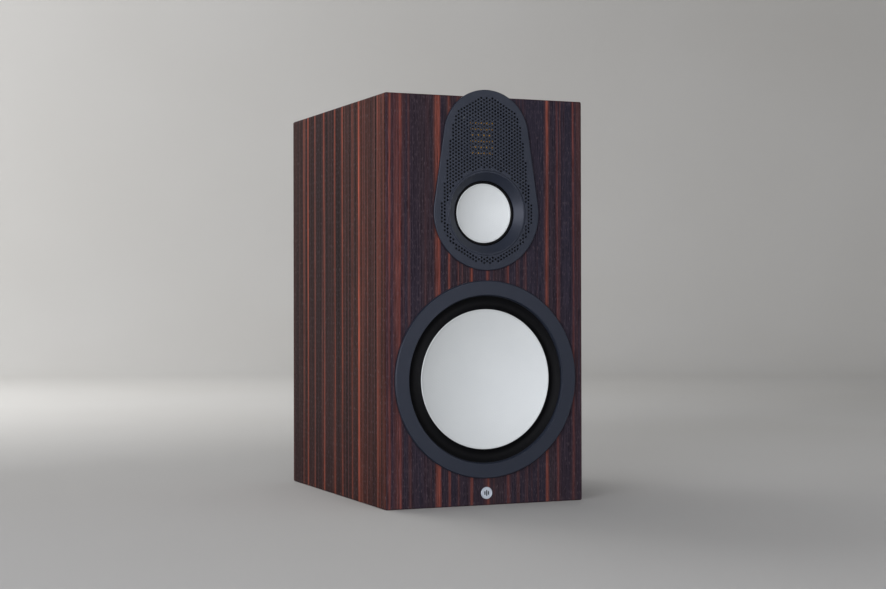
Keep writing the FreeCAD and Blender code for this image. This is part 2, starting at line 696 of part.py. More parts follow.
def spider(label, inner, ledge, outer, at, skin, bend, height):
    """A corrugated suspension: eight half waves from the coil to the ledge, then a flat land."""
    front, back = [], []
    for i in range(9):
        x = f"{inner} + 1 + ({ledge} - ({inner}) - 1) * {i} / 8"
        side = 1 if i % 2 else -1
        front.append((x, at, bend, -side) if i < 8 else (x, at))
        back.append((x, f"{at} + {skin}", bend, -side) if i else (x, f"{at} + {skin}"))
    turned(label, [(inner, at)] + front + [(outer, at), (outer, f"{at} + {skin}")]
           + list(reversed(back)) + [(inner, f"{at} + {skin}")], height)


def voice_coil(label, radius, start, wound, end, height):
    """A thin former with its winding at the far end."""
    turned(label, [(f"{radius} - 0.4", start), (radius, start), (radius, wound),
                   (f"{radius} + 0.5", wound), (f"{radius} + 0.5", end),
                   (f"{radius} - 0.4", end)], height)


def windows(body, corners, angle, count):
    """Evenly spaced openings through a basket's wall."""
    sketch = new_sketch(body, "XY_Plane")
    draw_outline(sketch, corners)
    groove = body.newObject("PartDesign::Groove", body.Name + "_window")
    groove.Profile = sketch
    groove.ReferenceAxis = (sketch, ["V_Axis"])
    groove.Angle = angle
    polar(body, groove, count)


def draw_rounded(sketch, x, z, half_x, half_z, radius):
    """A rectangle about (x, z) with rounded corners."""
    left, right = f"{x} - {half_x}", f"{x} + {half_x}"
    low, high = f"{z} - {half_z}", f"{z} + {half_z}"
    draw_outline(sketch, [
        (f"{left} + {radius}", low), (f"{right} - {radius}", low, radius, 1),
        (right, f"{low} + {radius}"), (right, f"{high} - {radius}", radius, 1),
        (f"{right} - {radius}", high), (f"{left} + {radius}", high, radius, 1),
        (left, f"{high} - {radius}"), (left, f"{low} + {radius}", radius, 1)])


# ---------------------------------------------------------------- woofer

WOOFER_EDGE = "({ring_deep} + {lip_step})"
YOKE_AT = "({motor_at} + {top_plate} + {magnet_ring_thick})"


def woofer():
    height = "{woofer_up}"
    turned("woofer_trim_ring", [
        ("{ring_mouth_r}", "-{ring_front}"), ("{ring_r} - {ring_bevel}", "-{ring_front}"),
        ("{ring_r}", "-{ring_front} + {ring_bevel}"), ("{ring_r}", "0"), ("{chassis_r}", "0"),
        ("{chassis_r}", "{ring_deep}"), ("{ring_throat_r}", "{ring_deep}"),
        ("{ring_throat_r}", "{ring_lip}")], height)
    roll("woofer_surround", "{cone_r} + {bond_gap}", "{roll_outer_r}", "{ring_deep}", "{roll_rise}",
         "{roll_skin}", "{roll_outer_r} + 8", height, hollow=True)
    dish("woofer_cone", "{cone_r}", WOOFER_EDGE, "{cone_dish}", "{cone_skin}", height)
    voice_coil("woofer_voice_coil", "{coil_r}",
               WOOFER_EDGE + " + {cone_dish} + {cone_skin} - 1.6", "{motor_at} - 6",
               "{motor_at} + {top_plate} + 6", height)
    spider("woofer_spider", "{coil_r} + {bond_gap}", "{spider_r} - 7", "{spider_r}",
           "{spider_at}", "0.8", "3.4", height)
    basket = new_body("woofer_basket", height)
    ledge = "{spider_at} + 0.8"
    spin(basket, [
        ("{ring_throat_r}", CHASSIS_AT), ("{chassis_r}", CHASSIS_AT),
        ("{chassis_r}", CHASSIS_AT + " + {chassis_flange}"),
        ("{chassis_hole_r} - 0.6", CHASSIS_AT + " + {chassis_flange}"),
        ("{chassis_hole_r} - 0.6", CHASSIS_AT + " + {chassis_flange} + 6"),
        ("{spider_r} + 4", ledge + " + 2"), ("{motor_r} + 1", "{motor_at} - 4"),
        ("{motor_r}", "{motor_at}"), ("{coil_r} + 11", "{motor_at}"),
        ("{coil_r} + 11", "{motor_at} - 4"), ("{motor_r} - 3", "{motor_at} - 4"),
        ("{spider_r} - 6.5", ledge + " + 3.5"), ("{spider_r} - 6.5", ledge),
        ("{spider_r} + 0.5", ledge), ("{spider_r} + 0.5", ledge + " - 2"),
        ("{ring_throat_r}", CHASSIS_AT + " + {chassis_flange} + 4")])
    near, far = CHASSIS_AT + " + {chassis_flange} + 7", "{spider_at} - 4"
    windows(basket, [("{spider_r} - 6", near), ("{chassis_r}", near), ("{chassis_r}", far),
                     ("{spider_r} - 6", far)], 46, 6)
    low, high = ledge + " + 6", "{motor_at} - 8"
    windows(basket, [("{motor_r} - 14", low), ("{chassis_r}", low), ("{chassis_r}", high),
                     ("{motor_r} - 14", high)], 40, 6)
    keep("woofer_basket", basket)
    tube("woofer_top_plate", "{coil_r} + 0.5 + {coil_gap}", "{motor_r}", "{motor_at}",
         "{motor_at} + {top_plate}", height)
    tube("woofer_magnet", "{magnet_ring_in}", "{magnet_ring_r}", "{motor_at} + {top_plate}",
         YOKE_AT, height)
    pole, end = "{coil_r} - 0.4 - {coil_gap}", YOKE_AT + " + {back_plate}"
    turned("woofer_yoke", [
        ("0", "{motor_at}"), (pole, "{motor_at}"), (pole, YOKE_AT), ("{yoke_r}", YOKE_AT),
        ("{yoke_r}", end), ("{tie_r} + {bond_gap}", end),
        ("{tie_r} + {bond_gap}", end + " - {tie_grip}"), ("0", end + " - {tie_grip}")], height)


# ---------------------------------------------------------------- midrange

MID_EDGE = "({horn_deep} + {lip_step})"
MID_CHASSIS_AT = "({horn_deep} + {mid_roll_skin})"
MID_YOKE_AT = "({mid_motor_at} + {mid_top_plate} + {mid_magnet_thick})"
POD_END = "({frame_deep} + {pod_deep})"


def midrange():
    height = "{mid_up}"
    turned("mid_horn", [
        ("{horn_mouth_r}", "-{plate_front}"), ("{horn_r} - 0.4", "-{plate_front}"),
        ("{horn_r}", "-{plate_front} + 0.4"), ("{horn_r}", "-{plate_back}"),
        ("{horn_body_r}", "-{plate_back}"), ("{horn_body_r}", "{horn_deep}"),
        ("{horn_throat_r}", "{horn_deep}"), ("{horn_throat_r}", "{horn_deep} - {horn_lip}")],
        height)
    roll("mid_surround", "{mid_cone_r} + {bond_gap}", "{horn_throat_r}", "{horn_deep}",
         "{mid_roll_rise}", "{mid_roll_skin}", "{horn_throat_r} + 5", height)
    dish("mid_cone", "{mid_cone_r}", MID_EDGE, "{mid_dish}", "{mid_skin}", height)
    voice_coil("mid_voice_coil", "{mid_coil_r}", MID_EDGE + " + {mid_dish} + {mid_skin} - 1.5",
               "{mid_motor_at} - 3", "{mid_motor_at} + {mid_top_plate} + 3", height)
    ledge = "{mid_spider_at} + 0.5"
    spider("mid_spider", "{mid_coil_r} + {bond_gap}", "{mid_motor_r} - 1", "{mid_motor_r} + 2",
           "{mid_spider_at}", "0.5", "1.3", height)
    basket = new_body("mid_basket", height)
    spin(basket, [
        ("{horn_throat_r} + 1", MID_CHASSIS_AT), ("{horn_body_r} - 0.3", MID_CHASSIS_AT),
        ("{horn_body_r} - 0.3", MID_SEAT), ("{mid_basket_r}", MID_SEAT),
        ("{mid_basket_r}", MID_SEAT + " + 2.5"), ("{mid_motor_r} + 5", ledge + " + 1"),
        ("{mid_motor_r} + 1", "{mid_motor_at}"), ("{mid_coil_r} + 4", "{mid_motor_at}"),
        ("{mid_coil_r} + 4", "{mid_motor_at} - 2"), ("{mid_motor_r} - 3", "{mid_motor_at} - 2"),
        ("{mid_motor_r} - 0.4", ledge), ("{mid_motor_r} + 2.4", ledge),
        ("{mid_motor_r} + 2.4", ledge + " - 1"), ("{horn_throat_r} + 1", MID_SEAT + " + 1.5")])
    near, far = MID_SEAT + " + 3.2", "{mid_spider_at} - 2"
    windows(basket, [("{mid_motor_r}", near), ("{horn_r}", near), ("{horn_r}", far),
                     ("{mid_motor_r}", far)], 42, 6)
    keep("mid_basket", basket)
    tube("mid_top_plate", "{mid_coil_r} + 0.5 + {mid_gap}", "{mid_motor_r}", "{mid_motor_at}",
         "{mid_motor_at} + {mid_top_plate}", height)
    tube("mid_magnet", "{mid_magnet_in}", "{mid_magnet_r}", "{mid_motor_at} + {mid_top_plate}",
         MID_YOKE_AT, height)
    pole, end = "{mid_coil_r} - 0.4 - {mid_gap}", MID_YOKE_AT + " + {mid_back_plate}"
    turned("mid_yoke", [
        ("0", "{mid_motor_at}"), (pole, "{mid_motor_at}"), (pole, MID_YOKE_AT),
        ("{mid_magnet_r} - 2", MID_YOKE_AT), ("{mid_magnet_r} - 2", end), ("0", end)], height)


def mid_enclosure():
    """The sealed cup behind the midrange, whose boss takes the upper tie bolt."""
    body = new_body("mid_enclosure", "{mid_up}")
    near, inner = "{frame_deep}", "{pod_r} - {pod_wall}"
    spin(body, [
        (inner, near), ("{pod_flange_r}", near), ("{pod_flange_r}", near + " + {pod_wall}"),
        ("{pod_r}", near + " + {pod_wall}"), ("{pod_r}", POD_END), ("{boss_out}", POD_END),
        ("{boss_out}", POD_END + " + 8"), ("{tie_r} + {bond_gap}", POD_END + " + 8"),
        ("{tie_r} + {bond_gap}", POD_END + " - 10"), ("0", POD_END + " - 10"),
        ("0", POD_END + " - 14"), ("{boss_out}", POD_END + " - 14"),
        ("{boss_out}", POD_END + " - {pod_wall}"), (inner, POD_END + " - {pod_wall}")])
    hole = new_sketch(body, at="{frame_deep}")
    draw_circle(hole, "{pod_screw_ring}", "0", "1.7")
    polar(body, pocket(body, hole, "{pod_wall} + 1"), 6)
    keep("mid_enclosure", body)


# ---------------------------------------------------------------- tweeter

FOIL_AT = "({cavity_floor} + 0.4)"
REAR_POLE_AT = "({cavity_floor} + {amt_gap})"
CHAMBER_AT = "({cavity_floor} + {amt_gap} + {pole_thick})"


def slotted_plate(label, at, half, holes):
    """A pole plate with the row of level slots that the tweeter sounds through."""
    body = new_body(label, "{mid_up} + {tweeter_rise}")
    sketch = new_sketch(body, at=f"{at} + {{pole_thick}}")
    draw_rounded(sketch, "0", "0", half, half, "1")
    for i in range(6):
        draw_rounded(sketch, "0", f"({i} - 2.5) * {{slot_pitch}}", "{slot_x} / 2",
                     "{slot_z} / 2", "0.8")
    if holes:
        for x, z in mirrored_pairs("{amt_screw}", "{amt_screw}"):
            draw_circle(sketch, x, z, "1.1")
    pad(body, sketch, "{pole_thick}")
    keep(label, body)


def tweeter():
    height = "{mid_up} + {tweeter_rise}"
    bezel = new_body("tweeter_bezel", height)
    sketch = new_sketch(bezel, at="{cavity_floor} - {pole_thick}")
    draw_rounded(sketch, "0", "0", "{bezel_x} / 2", "{bezel_z} / 2", "2.5")
    draw_rounded(sketch, "0", "0", "({bezel_x} / 2 - {bezel_wall})",
                 "({bezel_z} / 2 - {bezel_wall})", "1.3")
    pad(bezel, sketch, "{cavity_floor} - {pole_thick} - {bezel_front}")
    keep("tweeter_bezel", bezel)
    slotted_plate("tweeter_front_pole", "({cavity_floor} - {pole_thick})", "{pole_side} / 2",
                  True)
    slotted_plate("tweeter_rear_pole", REAR_POLE_AT, "{amt_side} / 2", False)
    foil = new_body("tweeter_diaphragm", height)
    fold = foil.newObject("Sketcher::SketchObject", "foil_sketch")
    fold.AttachmentSupport = [(plane_of(foil, "YZ_Plane"), "")]
    fold.MapMode = "FlatFace"
    fold.setExpression("AttachmentOffset.Base.z", bound("-{foil_x} / 2"))
    front = [(f"{FOIL_AT} + {i % 2} * ({{foil_fold}} - {{foil_skin}})",
              f"({i} - 10) * {{foil_z}} / 20") for i in range(21)]
    back = [(f"{y} + {{foil_skin}}", z) for y, z in front]
    draw_outline(fold, front + list(reversed(back)))
    pad(foil, fold, "{foil_x}")
    keep("tweeter_diaphragm", foil)
    y = (f"{FRONT} + {{cavity_floor}}", f"{FRONT} + {REAR_POLE_AT}")
    z = (f"{height} - {{foil_z}} / 2 - 0.5", f"{height} + {{foil_z}} / 2 + 0.5")
    side = "{amt_side} / 2"
    keep("tweeter_magnets", group("tweeter_magnets", [
        box("bar_magnet", (f"-{side}", f"-{side} + {{amt_magnet_thick}}"), y, z),
        box("bar_magnet", (f"{side} - {{amt_magnet_thick}}", side), y, z)]))
    chamber = new_body("tweeter_chamber", height)
    outline = new_sketch(chamber, at=CHAMBER_AT + " + {chamber_deep}")
    draw_rounded(outline, "0", "0", side, side, "3")
    pad(chamber, outline, "{chamber_deep}")
    hollow = new_sketch(chamber, at=CHAMBER_AT)
    draw_rounded(hollow, "0", "0", f"({side} - {{chamber_wall}})",
                 f"({side} - {{chamber_wall}})", "1.5")
    pocket(chamber, hollow, "{chamber_deep} - {chamber_wall}")
    keep("tweeter_chamber", chamber)


def screw(x, z, shank_r, head_r, head, shoulder, tip, side="front"):
    """A pan-head screw along y at (x, z): its shank runs from the shoulder to the tip."""
    body = new_body("screw", z, side)
    body.setExpression("Placement.Base.x", bound(x))
    spin(body, [("0", tip), (shank_r, tip), (shank_r, shoulder), (head_r, shoulder),
                (f"{head_r} * 0.8", head), (f"{shank_r} * 0.8", head),
                (f"{shank_r} * 0.8", f"({head}) * 0.6 + ({shoulder}) * 0.4"),
                ("0", f"({head}) * 0.6 + ({shoulder}) * 0.4")])
    return body


def module_screws():
    """Six screws behind the midrange's enclosure and four at the tweeter's front pole plate."""
    made = []
    for i in range(6):
        shoulder = "{frame_deep} + {pod_wall}"
        made.append(screw(f"{{pod_screw_ring}} * cos({60 * i})",
                          f"{{mid_up}} + {{pod_screw_ring}} * sin({60 * i})", "1.5", "2.7",
                          shoulder + " + 2", shoulder, shoulder + " - 9"))
    for x, z in mirrored_pairs("{amt_screw}", "{amt_screw}"):
        shoulder = "{cavity_floor} - {pole_thick}"
        made.append(screw(x, f"{{mid_up}} + {{tweeter_rise}} + {z}", "1", "1.6",
                          shoulder + " - 1.1", shoulder, shoulder + " + 6"))
    keep("module_screws", group("module_screws", made))


# ---------------------------------------------------------------- back of the cabinet


def panel_screw_places():
    return mirrored_pairs("{panel_x} / 2 - 5", "{panel_z} / 2 - 5")


def tie_bolts():
    """Two long flanged bolts, each of which pulls a driver back against its seat."""
    made = []
    for height, reach in (("{woofer_up}", YOKE_AT + " + {back_plate}"),
                          ("{mid_up}", POD_END + " + 8")):
        body = new_body("tie_bolt", height, "back")
        tip, well = f"{reach} - {{tie_grip}} + 3 - {{depth}}", "-{tie_well}"
        top = well + " + 1.6 + {tie_head}"
        spin(body, [
            ("0", tip), ("{tie_r}", tip), ("{tie_r}", well), ("{tie_well_r} - 2", well),
            ("{tie_well_r} - 2", well + " + 1.6"), ("{tie_head_r}", well + " + 1.6"),
            ("{tie_head_r}", top + " - 0.6"), ("{tie_head_r} - 0.6", top), ("3", top),
            ("3", top + " - 4"), ("0", top + " - 4")])
        made.append(body)
    keep("tie_bolts", group("tie_bolts", made))


def port_tube():
    """The reflex port, flared at both ends."""
    end, flare = "-{port_length}", "{port_end_flare}"
    mouth = "{port_r} + {port_flare} - 1.5"
    outer = "{port_r} + {port_wall}"
    turned("port_tube", [
        ("{port_r}", "{port_flange} - {port_flare}"),
        ("{port_r}", f"{end} + {flare}", flare, -1),
        (f"{{port_r}} + {flare}", end), (f"{outer} + {flare}", end),
        (f"{outer} + {flare}", end + " + 1.5"),
        (outer, f"{end} + {flare} + 4"), (outer, "-{port_flare} - 4"),
        (f"{mouth} - 0.3", "-{port_flare} + 3"), (f"{mouth} - 0.3", "0"),
        ("{port_flange_r}", "0"), ("{port_flange_r}", "{port_flange} - 1"),
        ("{port_flange_r} - 1", "{port_flange}"),
        ("{port_r} + {port_flare}", "{port_flange}", "{port_flare}", 1)], "{port_up}", "back")


def posts():
    return mirrored_pairs("{post_x}", "{post_z}")


def at_post(body, place):
    body.setExpression("Placement.Base.x", bound(place[0]))
    body.setExpression("Placement.Base.z", bound(f"{{panel_up}} + ({place[1]})"))
    return body


SEAT_AT = "({panel_thick} + {bush_thick})"
LINK_AT = "({panel_thick} + {bush_thick} + {seat_thick})"
COLLAR_AT = "({panel_thick} + {bush_thick} + {seat_thick} + {link_thick} + {touch_gap})"


def terminals():
    """The terminal plate, and on it four studs in insulating bushes, joined in pairs by links."""
    plate = new_body("terminal_plate", "{panel_up}", "back")
    sketch = new_sketch(plate, at="{panel_thick}")
    draw_rounded(sketch, "0", "0", "{panel_x} / 2", "{panel_z} / 2", "{panel_round}")
    for x, z in posts():
        draw_circle(sketch, x, z, "{stud_r} + 0.5")
    for x, z in panel_screw_places():
        draw_circle(sketch, x, z, "2.1")
    pad(plate, sketch, "{panel_thick}")
    keep("terminal_plate", plate)
    screws = [screw(x, f"{{panel_up}} + ({z})", "1.55", "3.4", "{panel_thick} + 2.2",
                    "{panel_thick}", "-11", "back") for x, z in panel_screw_places()]
    keep("terminal_screws", group("terminal_screws", screws))
    studs, bushes = [], []
    for place in posts():
        stud = at_post(new_body("post_stud", "0", "back"), place)
        spin(stud, [
            ("0", "-{stud_in}"), ("{stud_r}", "-{stud_in}"), ("{stud_r}", SEAT_AT),
            ("{seat_flange_r}", SEAT_AT), ("{seat_flange_r}", LINK_AT), ("{stud_r}", LINK_AT),
            ("{stud_r}", "{stud_out}"), ("{banana_r}", "{stud_out}"),
            ("{banana_r}", "{stud_out} - {banana_deep}"), ("0", "{stud_out} - {banana_deep}")])
        bush = at_post(new_body("post_bush", "0", "back"), place)
        spin(bush, [("{stud_r} + {bond_gap}", "{panel_thick}"), ("{bush_r}", "{panel_thick}"),
                    ("{bush_r}", SEAT_AT + " - 0.6"), ("{bush_r} - 0.6", SEAT_AT),
                    ("{stud_r} + {bond_gap}", SEAT_AT)])
        studs.append(stud)
        bushes.append(bush)
    keep("post_studs", group("post_studs", studs))
    keep("post_bushes", group("post_bushes", bushes))
    links = []
    for x in ("{post_x}", "-{post_x}"):
        link = at_post(new_body("jumper_link", "0", "back"), (x, "0"))
        outline = new_sketch(link, at=LINK_AT + " + {link_thick}")
        draw_rounded(outline, "0", "0", "{link_x} / 2", "({post_z} + {link_x} / 2)",
                     "({link_x} / 2 - 0.3)")
        for z in ("{post_z}", "-{post_z}"):
            draw_circle(outline, "0", z, "{stud_r} + 0.2")
        pad(link, outline, "{link_thick}")
        links.append(link)
    keep("jumper_links", group("jumper_links", links))


POSTS = ("upper_right", "lower_right", "upper_left", "lower_left")


def post_knobs():
    """On each stud a loose collar, and a knob whose thread drives the collar down on the wire."""
    bore = "{stud_r} + {thread_gap}"
    start = COLLAR_AT + " + {collar_thick} + {touch_gap}"
    end = start + " + {knob_long}"
    for name, place in zip(POSTS, posts()):
        collar = at_post(new_body(name + "_collar", "0", "back"), place)
        spin(collar, [(bore, COLLAR_AT), ("{collar_r}", COLLAR_AT),
                      ("{collar_r}", COLLAR_AT + " + {collar_thick}"),
                      (bore, COLLAR_AT + " + {collar_thick}")])
        keep(name + "_collar", collar)
        knob = at_post(new_body(name + "_knob", "0", "back"), place)
        spin(knob, [(bore, start), ("{knob_r} - 0.8", start), ("{knob_r}", start + " + 0.8"),
                    ("{knob_r}", end + " - 1.4"), ("{knob_r} - 1.4", end), (bore, end)])
        flute = new_sketch(knob, at=start + " + 3")
        draw_circle(flute, "{knob_r} + 1", "0", "1.6")
        polar(knob, pocket(knob, flute, "{knob_long} - 5.5"), 12)
        keep(name + "_knob", knob)


# ---------------------------------------------------------------- crossover

BOARD_TOP = "({wall} + {board_up} + {board_thick})"
COILS = [(-34, -50, 24, 12, 26), (33, -54, 20, 10, 22), (-38, 58, 18, 9, 20)]
LYING_COIL = (34, -12, 17, 9, 20)
CAPACITORS = [(-30, -10, 11, 50), (-30, 16, 12, 50), (31, 22, 9, 46), (31, 45, 10, 46)]
RESISTORS = [(26, 63, 22), (26, 76, 22), (-12, 76, 12)]


def crossover():
    """The dividing network: a board on four spacers with coils, capacitors and resistors."""
    blank = box("board_blank", ("-{board_x} / 2", "{board_x} / 2"),
                ("{board_shift} - {board_y} / 2", "{board_shift} + {board_y} / 2"),
                (BOARD_TOP + " - {board_thick}", BOARD_TOP))
    holes, fixings = [], []
    for x, y in board_screw_places():
        y = f"{{board_shift}} + {y}"
        holes.append(rod("board_hole", "1.8", x, y, ("{wall}", BOARD_TOP + " + 1")))
        bore = rod("spacer_bore", "1.8", x, y, ("0", BOARD_TOP))
        spacer = rod("spacer_body", "4", x, y, ("{wall}", BOARD_TOP + " - {board_thick}"))
        fixings.append(minus("spacer", spacer, [bore]))
        fixings.append(rod("board_screw", "1.5", x, y, ("{wall} - 8", BOARD_TOP)))
        fixings.append(rod("board_screw_head", "3", x, y, (BOARD_TOP, BOARD_TOP + " + 2")))
    keep("crossover_board", minus("crossover_board", blank, holes))
    keep("crossover_fixings", group("crossover_fixings", fixings))
    coils = []
    for x, y, outer, inner, tall in COILS:
        at = f"{{board_shift}} + {y}"
        wound = rod("coil_body", outer, x, at, (BOARD_TOP, f"{BOARD_TOP} + {tall}"))
        bore = rod("coil_bore", inner, x, at, (BOARD_TOP + " - 1", f"{BOARD_TOP} + {tall} + 1"))
        coils.append(minus("coil", wound, [bore]))
    x, y, outer, inner, wide = LYING_COIL
    at, up = f"{{board_shift}} + {y}", f"{BOARD_TOP} + {outer}"
    wound = rod("coil_body", outer, (f"{x} - {wide} / 2", f"{x} + {wide} / 2"), at, up)
    bore = rod("coil_bore", inner, (f"{x} - {wide}", f"{x} + {wide}"), at, up)
    coils.append(minus("coil", wound, [bore]))
    keep("crossover_coils", group("crossover_coils", coils))
    keep("crossover_capacitors", group("crossover_capacitors", [
        rod("capacitor", r, (f"{x} - {long} / 2", f"{x} + {long} / 2"),
            f"{{board_shift}} + {y}", f"{BOARD_TOP} + {r}") for x, y, r, long in CAPACITORS]))
    keep("crossover_resistors", group("crossover_resistors", [
        box("resistor", (f"{x} - {half}", f"{x} + {half}"),
            (f"{{board_shift}} + {y} - 4.5", f"{{board_shift}} + {y} + 4.5"),
            (BOARD_TOP, BOARD_TOP + " + 9")) for x, y, half in RESISTORS]))


# ---------------------------------------------------------------- build, check and export

rounded_box = make_rounded_box()
top_panel(front_baffle())
bottom_panel()
side_panels()
rear_panel()
shelf_brace()
grille_magnets()
stand_inserts()
badge()
wadding()
front_plate()
module_frame()
gaskets()
woofer()
midrange()
mid_enclosure()
tweeter()
module_screws()
tie_bolts()
port_tube()
terminals()
post_knobs()
crossover()

doc.recompute()
for thing in doc.Objects:
    if "Invalid" in thing.State or "Error" in thing.State:
        raise RuntimeError(f"{thing.Name} did not recompute: {thing.State}")

os.makedirs("parts", exist_ok=True)
for name, thing in nodes.items():
    if thing.Shape.isNull() or not thing.Shape.isValid():
        raise RuntimeError(f"{name} has a bad shape")
    thing.Shape.exportStep(f"parts/{name}.step")
print(len(nodes), "nodes exported")
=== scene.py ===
"""A bookshelf loudspeaker on a pale studio floor.

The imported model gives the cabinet, the plates and everything that is turned or drilled.  This
script gives them their finishes, and makes the pieces whose look is in their surface: the two
dimpled cones, their surrounds and spiders, the pleats of the tweeter's foil, the mark on the
badge and the felt inside.

Metres.  +Z is up, the front faces -Y, and the origin is under the middle of the cabinet.
"""
import json
import math

import bpy
import numpy as np
from mathutils import Matrix, Vector


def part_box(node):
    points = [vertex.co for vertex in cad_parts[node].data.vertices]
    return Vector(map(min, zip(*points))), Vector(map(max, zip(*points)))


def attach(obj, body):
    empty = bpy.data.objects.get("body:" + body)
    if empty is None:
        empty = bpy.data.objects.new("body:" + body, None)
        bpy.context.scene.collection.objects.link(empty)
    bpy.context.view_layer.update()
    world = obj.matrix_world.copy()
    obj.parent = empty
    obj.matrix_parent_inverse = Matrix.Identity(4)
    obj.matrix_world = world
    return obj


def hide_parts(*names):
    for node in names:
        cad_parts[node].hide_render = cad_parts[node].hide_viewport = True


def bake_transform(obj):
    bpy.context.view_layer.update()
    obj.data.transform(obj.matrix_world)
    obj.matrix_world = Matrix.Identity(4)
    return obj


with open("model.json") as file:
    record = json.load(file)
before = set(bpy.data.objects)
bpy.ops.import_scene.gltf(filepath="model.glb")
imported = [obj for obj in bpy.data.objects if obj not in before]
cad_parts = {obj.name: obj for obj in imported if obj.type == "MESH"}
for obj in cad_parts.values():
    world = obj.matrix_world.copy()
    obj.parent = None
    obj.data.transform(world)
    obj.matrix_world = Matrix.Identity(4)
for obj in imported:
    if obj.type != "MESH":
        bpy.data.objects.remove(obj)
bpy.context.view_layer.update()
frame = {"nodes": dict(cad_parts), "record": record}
MM = 0.001
TURN = 2 * math.pi


# ---------------------------------------------------------------- meshes


def piece(name, points, faces, finish, body=None, replaced=()):
    """A smooth mesh from points and arrays of faces, in its finish and on its body."""
    mesh = bpy.data.meshes.new(name)
    mesh.from_pydata(points.tolist(), [], [face for group in faces for face in group.tolist()])
    mesh.polygons.foreach_set("use_smooth", np.ones(len(mesh.polygons), bool))
    mesh.materials.append(finish)
    thing = bpy.data.objects.new(name, mesh)
    bpy.context.scene.collection.objects.link(thing)
    if replaced:
        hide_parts(*replaced)
    if body:
        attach(thing, body)
    return thing


def strip(rows, columns, close_rows=False, close_columns=False):
    """Quads between neighbouring points of a grid that is stored row by row."""
    i = np.arange(rows if close_rows else rows - 1)
    j = np.arange(columns if close_columns else columns - 1)
    i, j = np.meshgrid(i, j, indexing="ij")
    down, right = (i + 1) % rows, (j + 1) % columns
    corners = (i * columns + j, i * columns + right, down * columns + right, down * columns + j)
    return np.stack(corners, -1).reshape(-1, 4)


def turned(profile, centre, steps):
    """A closed ring: point k of the profile, (r, y), goes round the axis as
    (x, z) = centre + r (cos t, sin t) while t makes one turn."""
    angle = np.arange(steps) / steps * TURN
    radius, depth = profile[:, None, 0], profile[:, None, 1]
    x, z = radius * np.cos(angle), centre[2] + radius * np.sin(angle)
    y = centre[1] + np.broadcast_to(depth, x.shape)
    faces = strip(len(profile), steps, close_rows=True, close_columns=True)[:, ::-1]
    return np.stack((centre[0] + x, y, z), -1).reshape(-1, 3), [faces]


def half_roll(inner, outer, land, depth, rise, skin, steps=40):
    """The section of a surround: y = depth - rise sin(pi s)^0.85 from the inner to the outer
    radius, with a flat land beyond, and the same line again one skin further back.  A negative
    rise makes a hollow roll."""
    s = np.linspace(0, 1, steps)
    radius = np.append(inner + (outer - inner) * s, land)
    front = np.append(depth - rise * np.sin(math.pi * s) ** 0.85, depth)
    line = np.stack((radius, front), -1)
    return np.concatenate((line, line[::-1] + (0, skin)))


def corrugated(inner, ledge, outer, depth, height, skin, waves=4, steps=97):
    """The section of a spider: y = depth + height sin(waves 2 pi s) out to the ledge, then flat."""
    s = np.linspace(0, 1, steps)
    radius = np.append(inner + (ledge - inner) * s, outer)
    front = np.append(depth + height * np.sin(waves * TURN * s), depth)
    line = np.stack((radius, front), -1)
    return np.concatenate((line, line[::-1] + (0, skin)))


def flexing(name, section, centre, inner, outer, finish, replaced):
    """A turned ring of the given section between a cone and the cabinet.  The share of the cone's
    motion at radius r, smooth((outer - r) / (outer - inner)), is worked out but not used, so the
    ring does not bend."""
    points, faces = turned(section, centre, steps=192)
    ring = piece(name, points, faces, finish, replaced=replaced)
    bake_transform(ring)
    radius = np.hypot(points[:, 0] - centre[0], points[:, 2] - centre[2])
    share = np.clip((outer - radius) / (outer - inner), 0, 1)
    share = share ** 2 * (3 - 2 * share)
    return ring


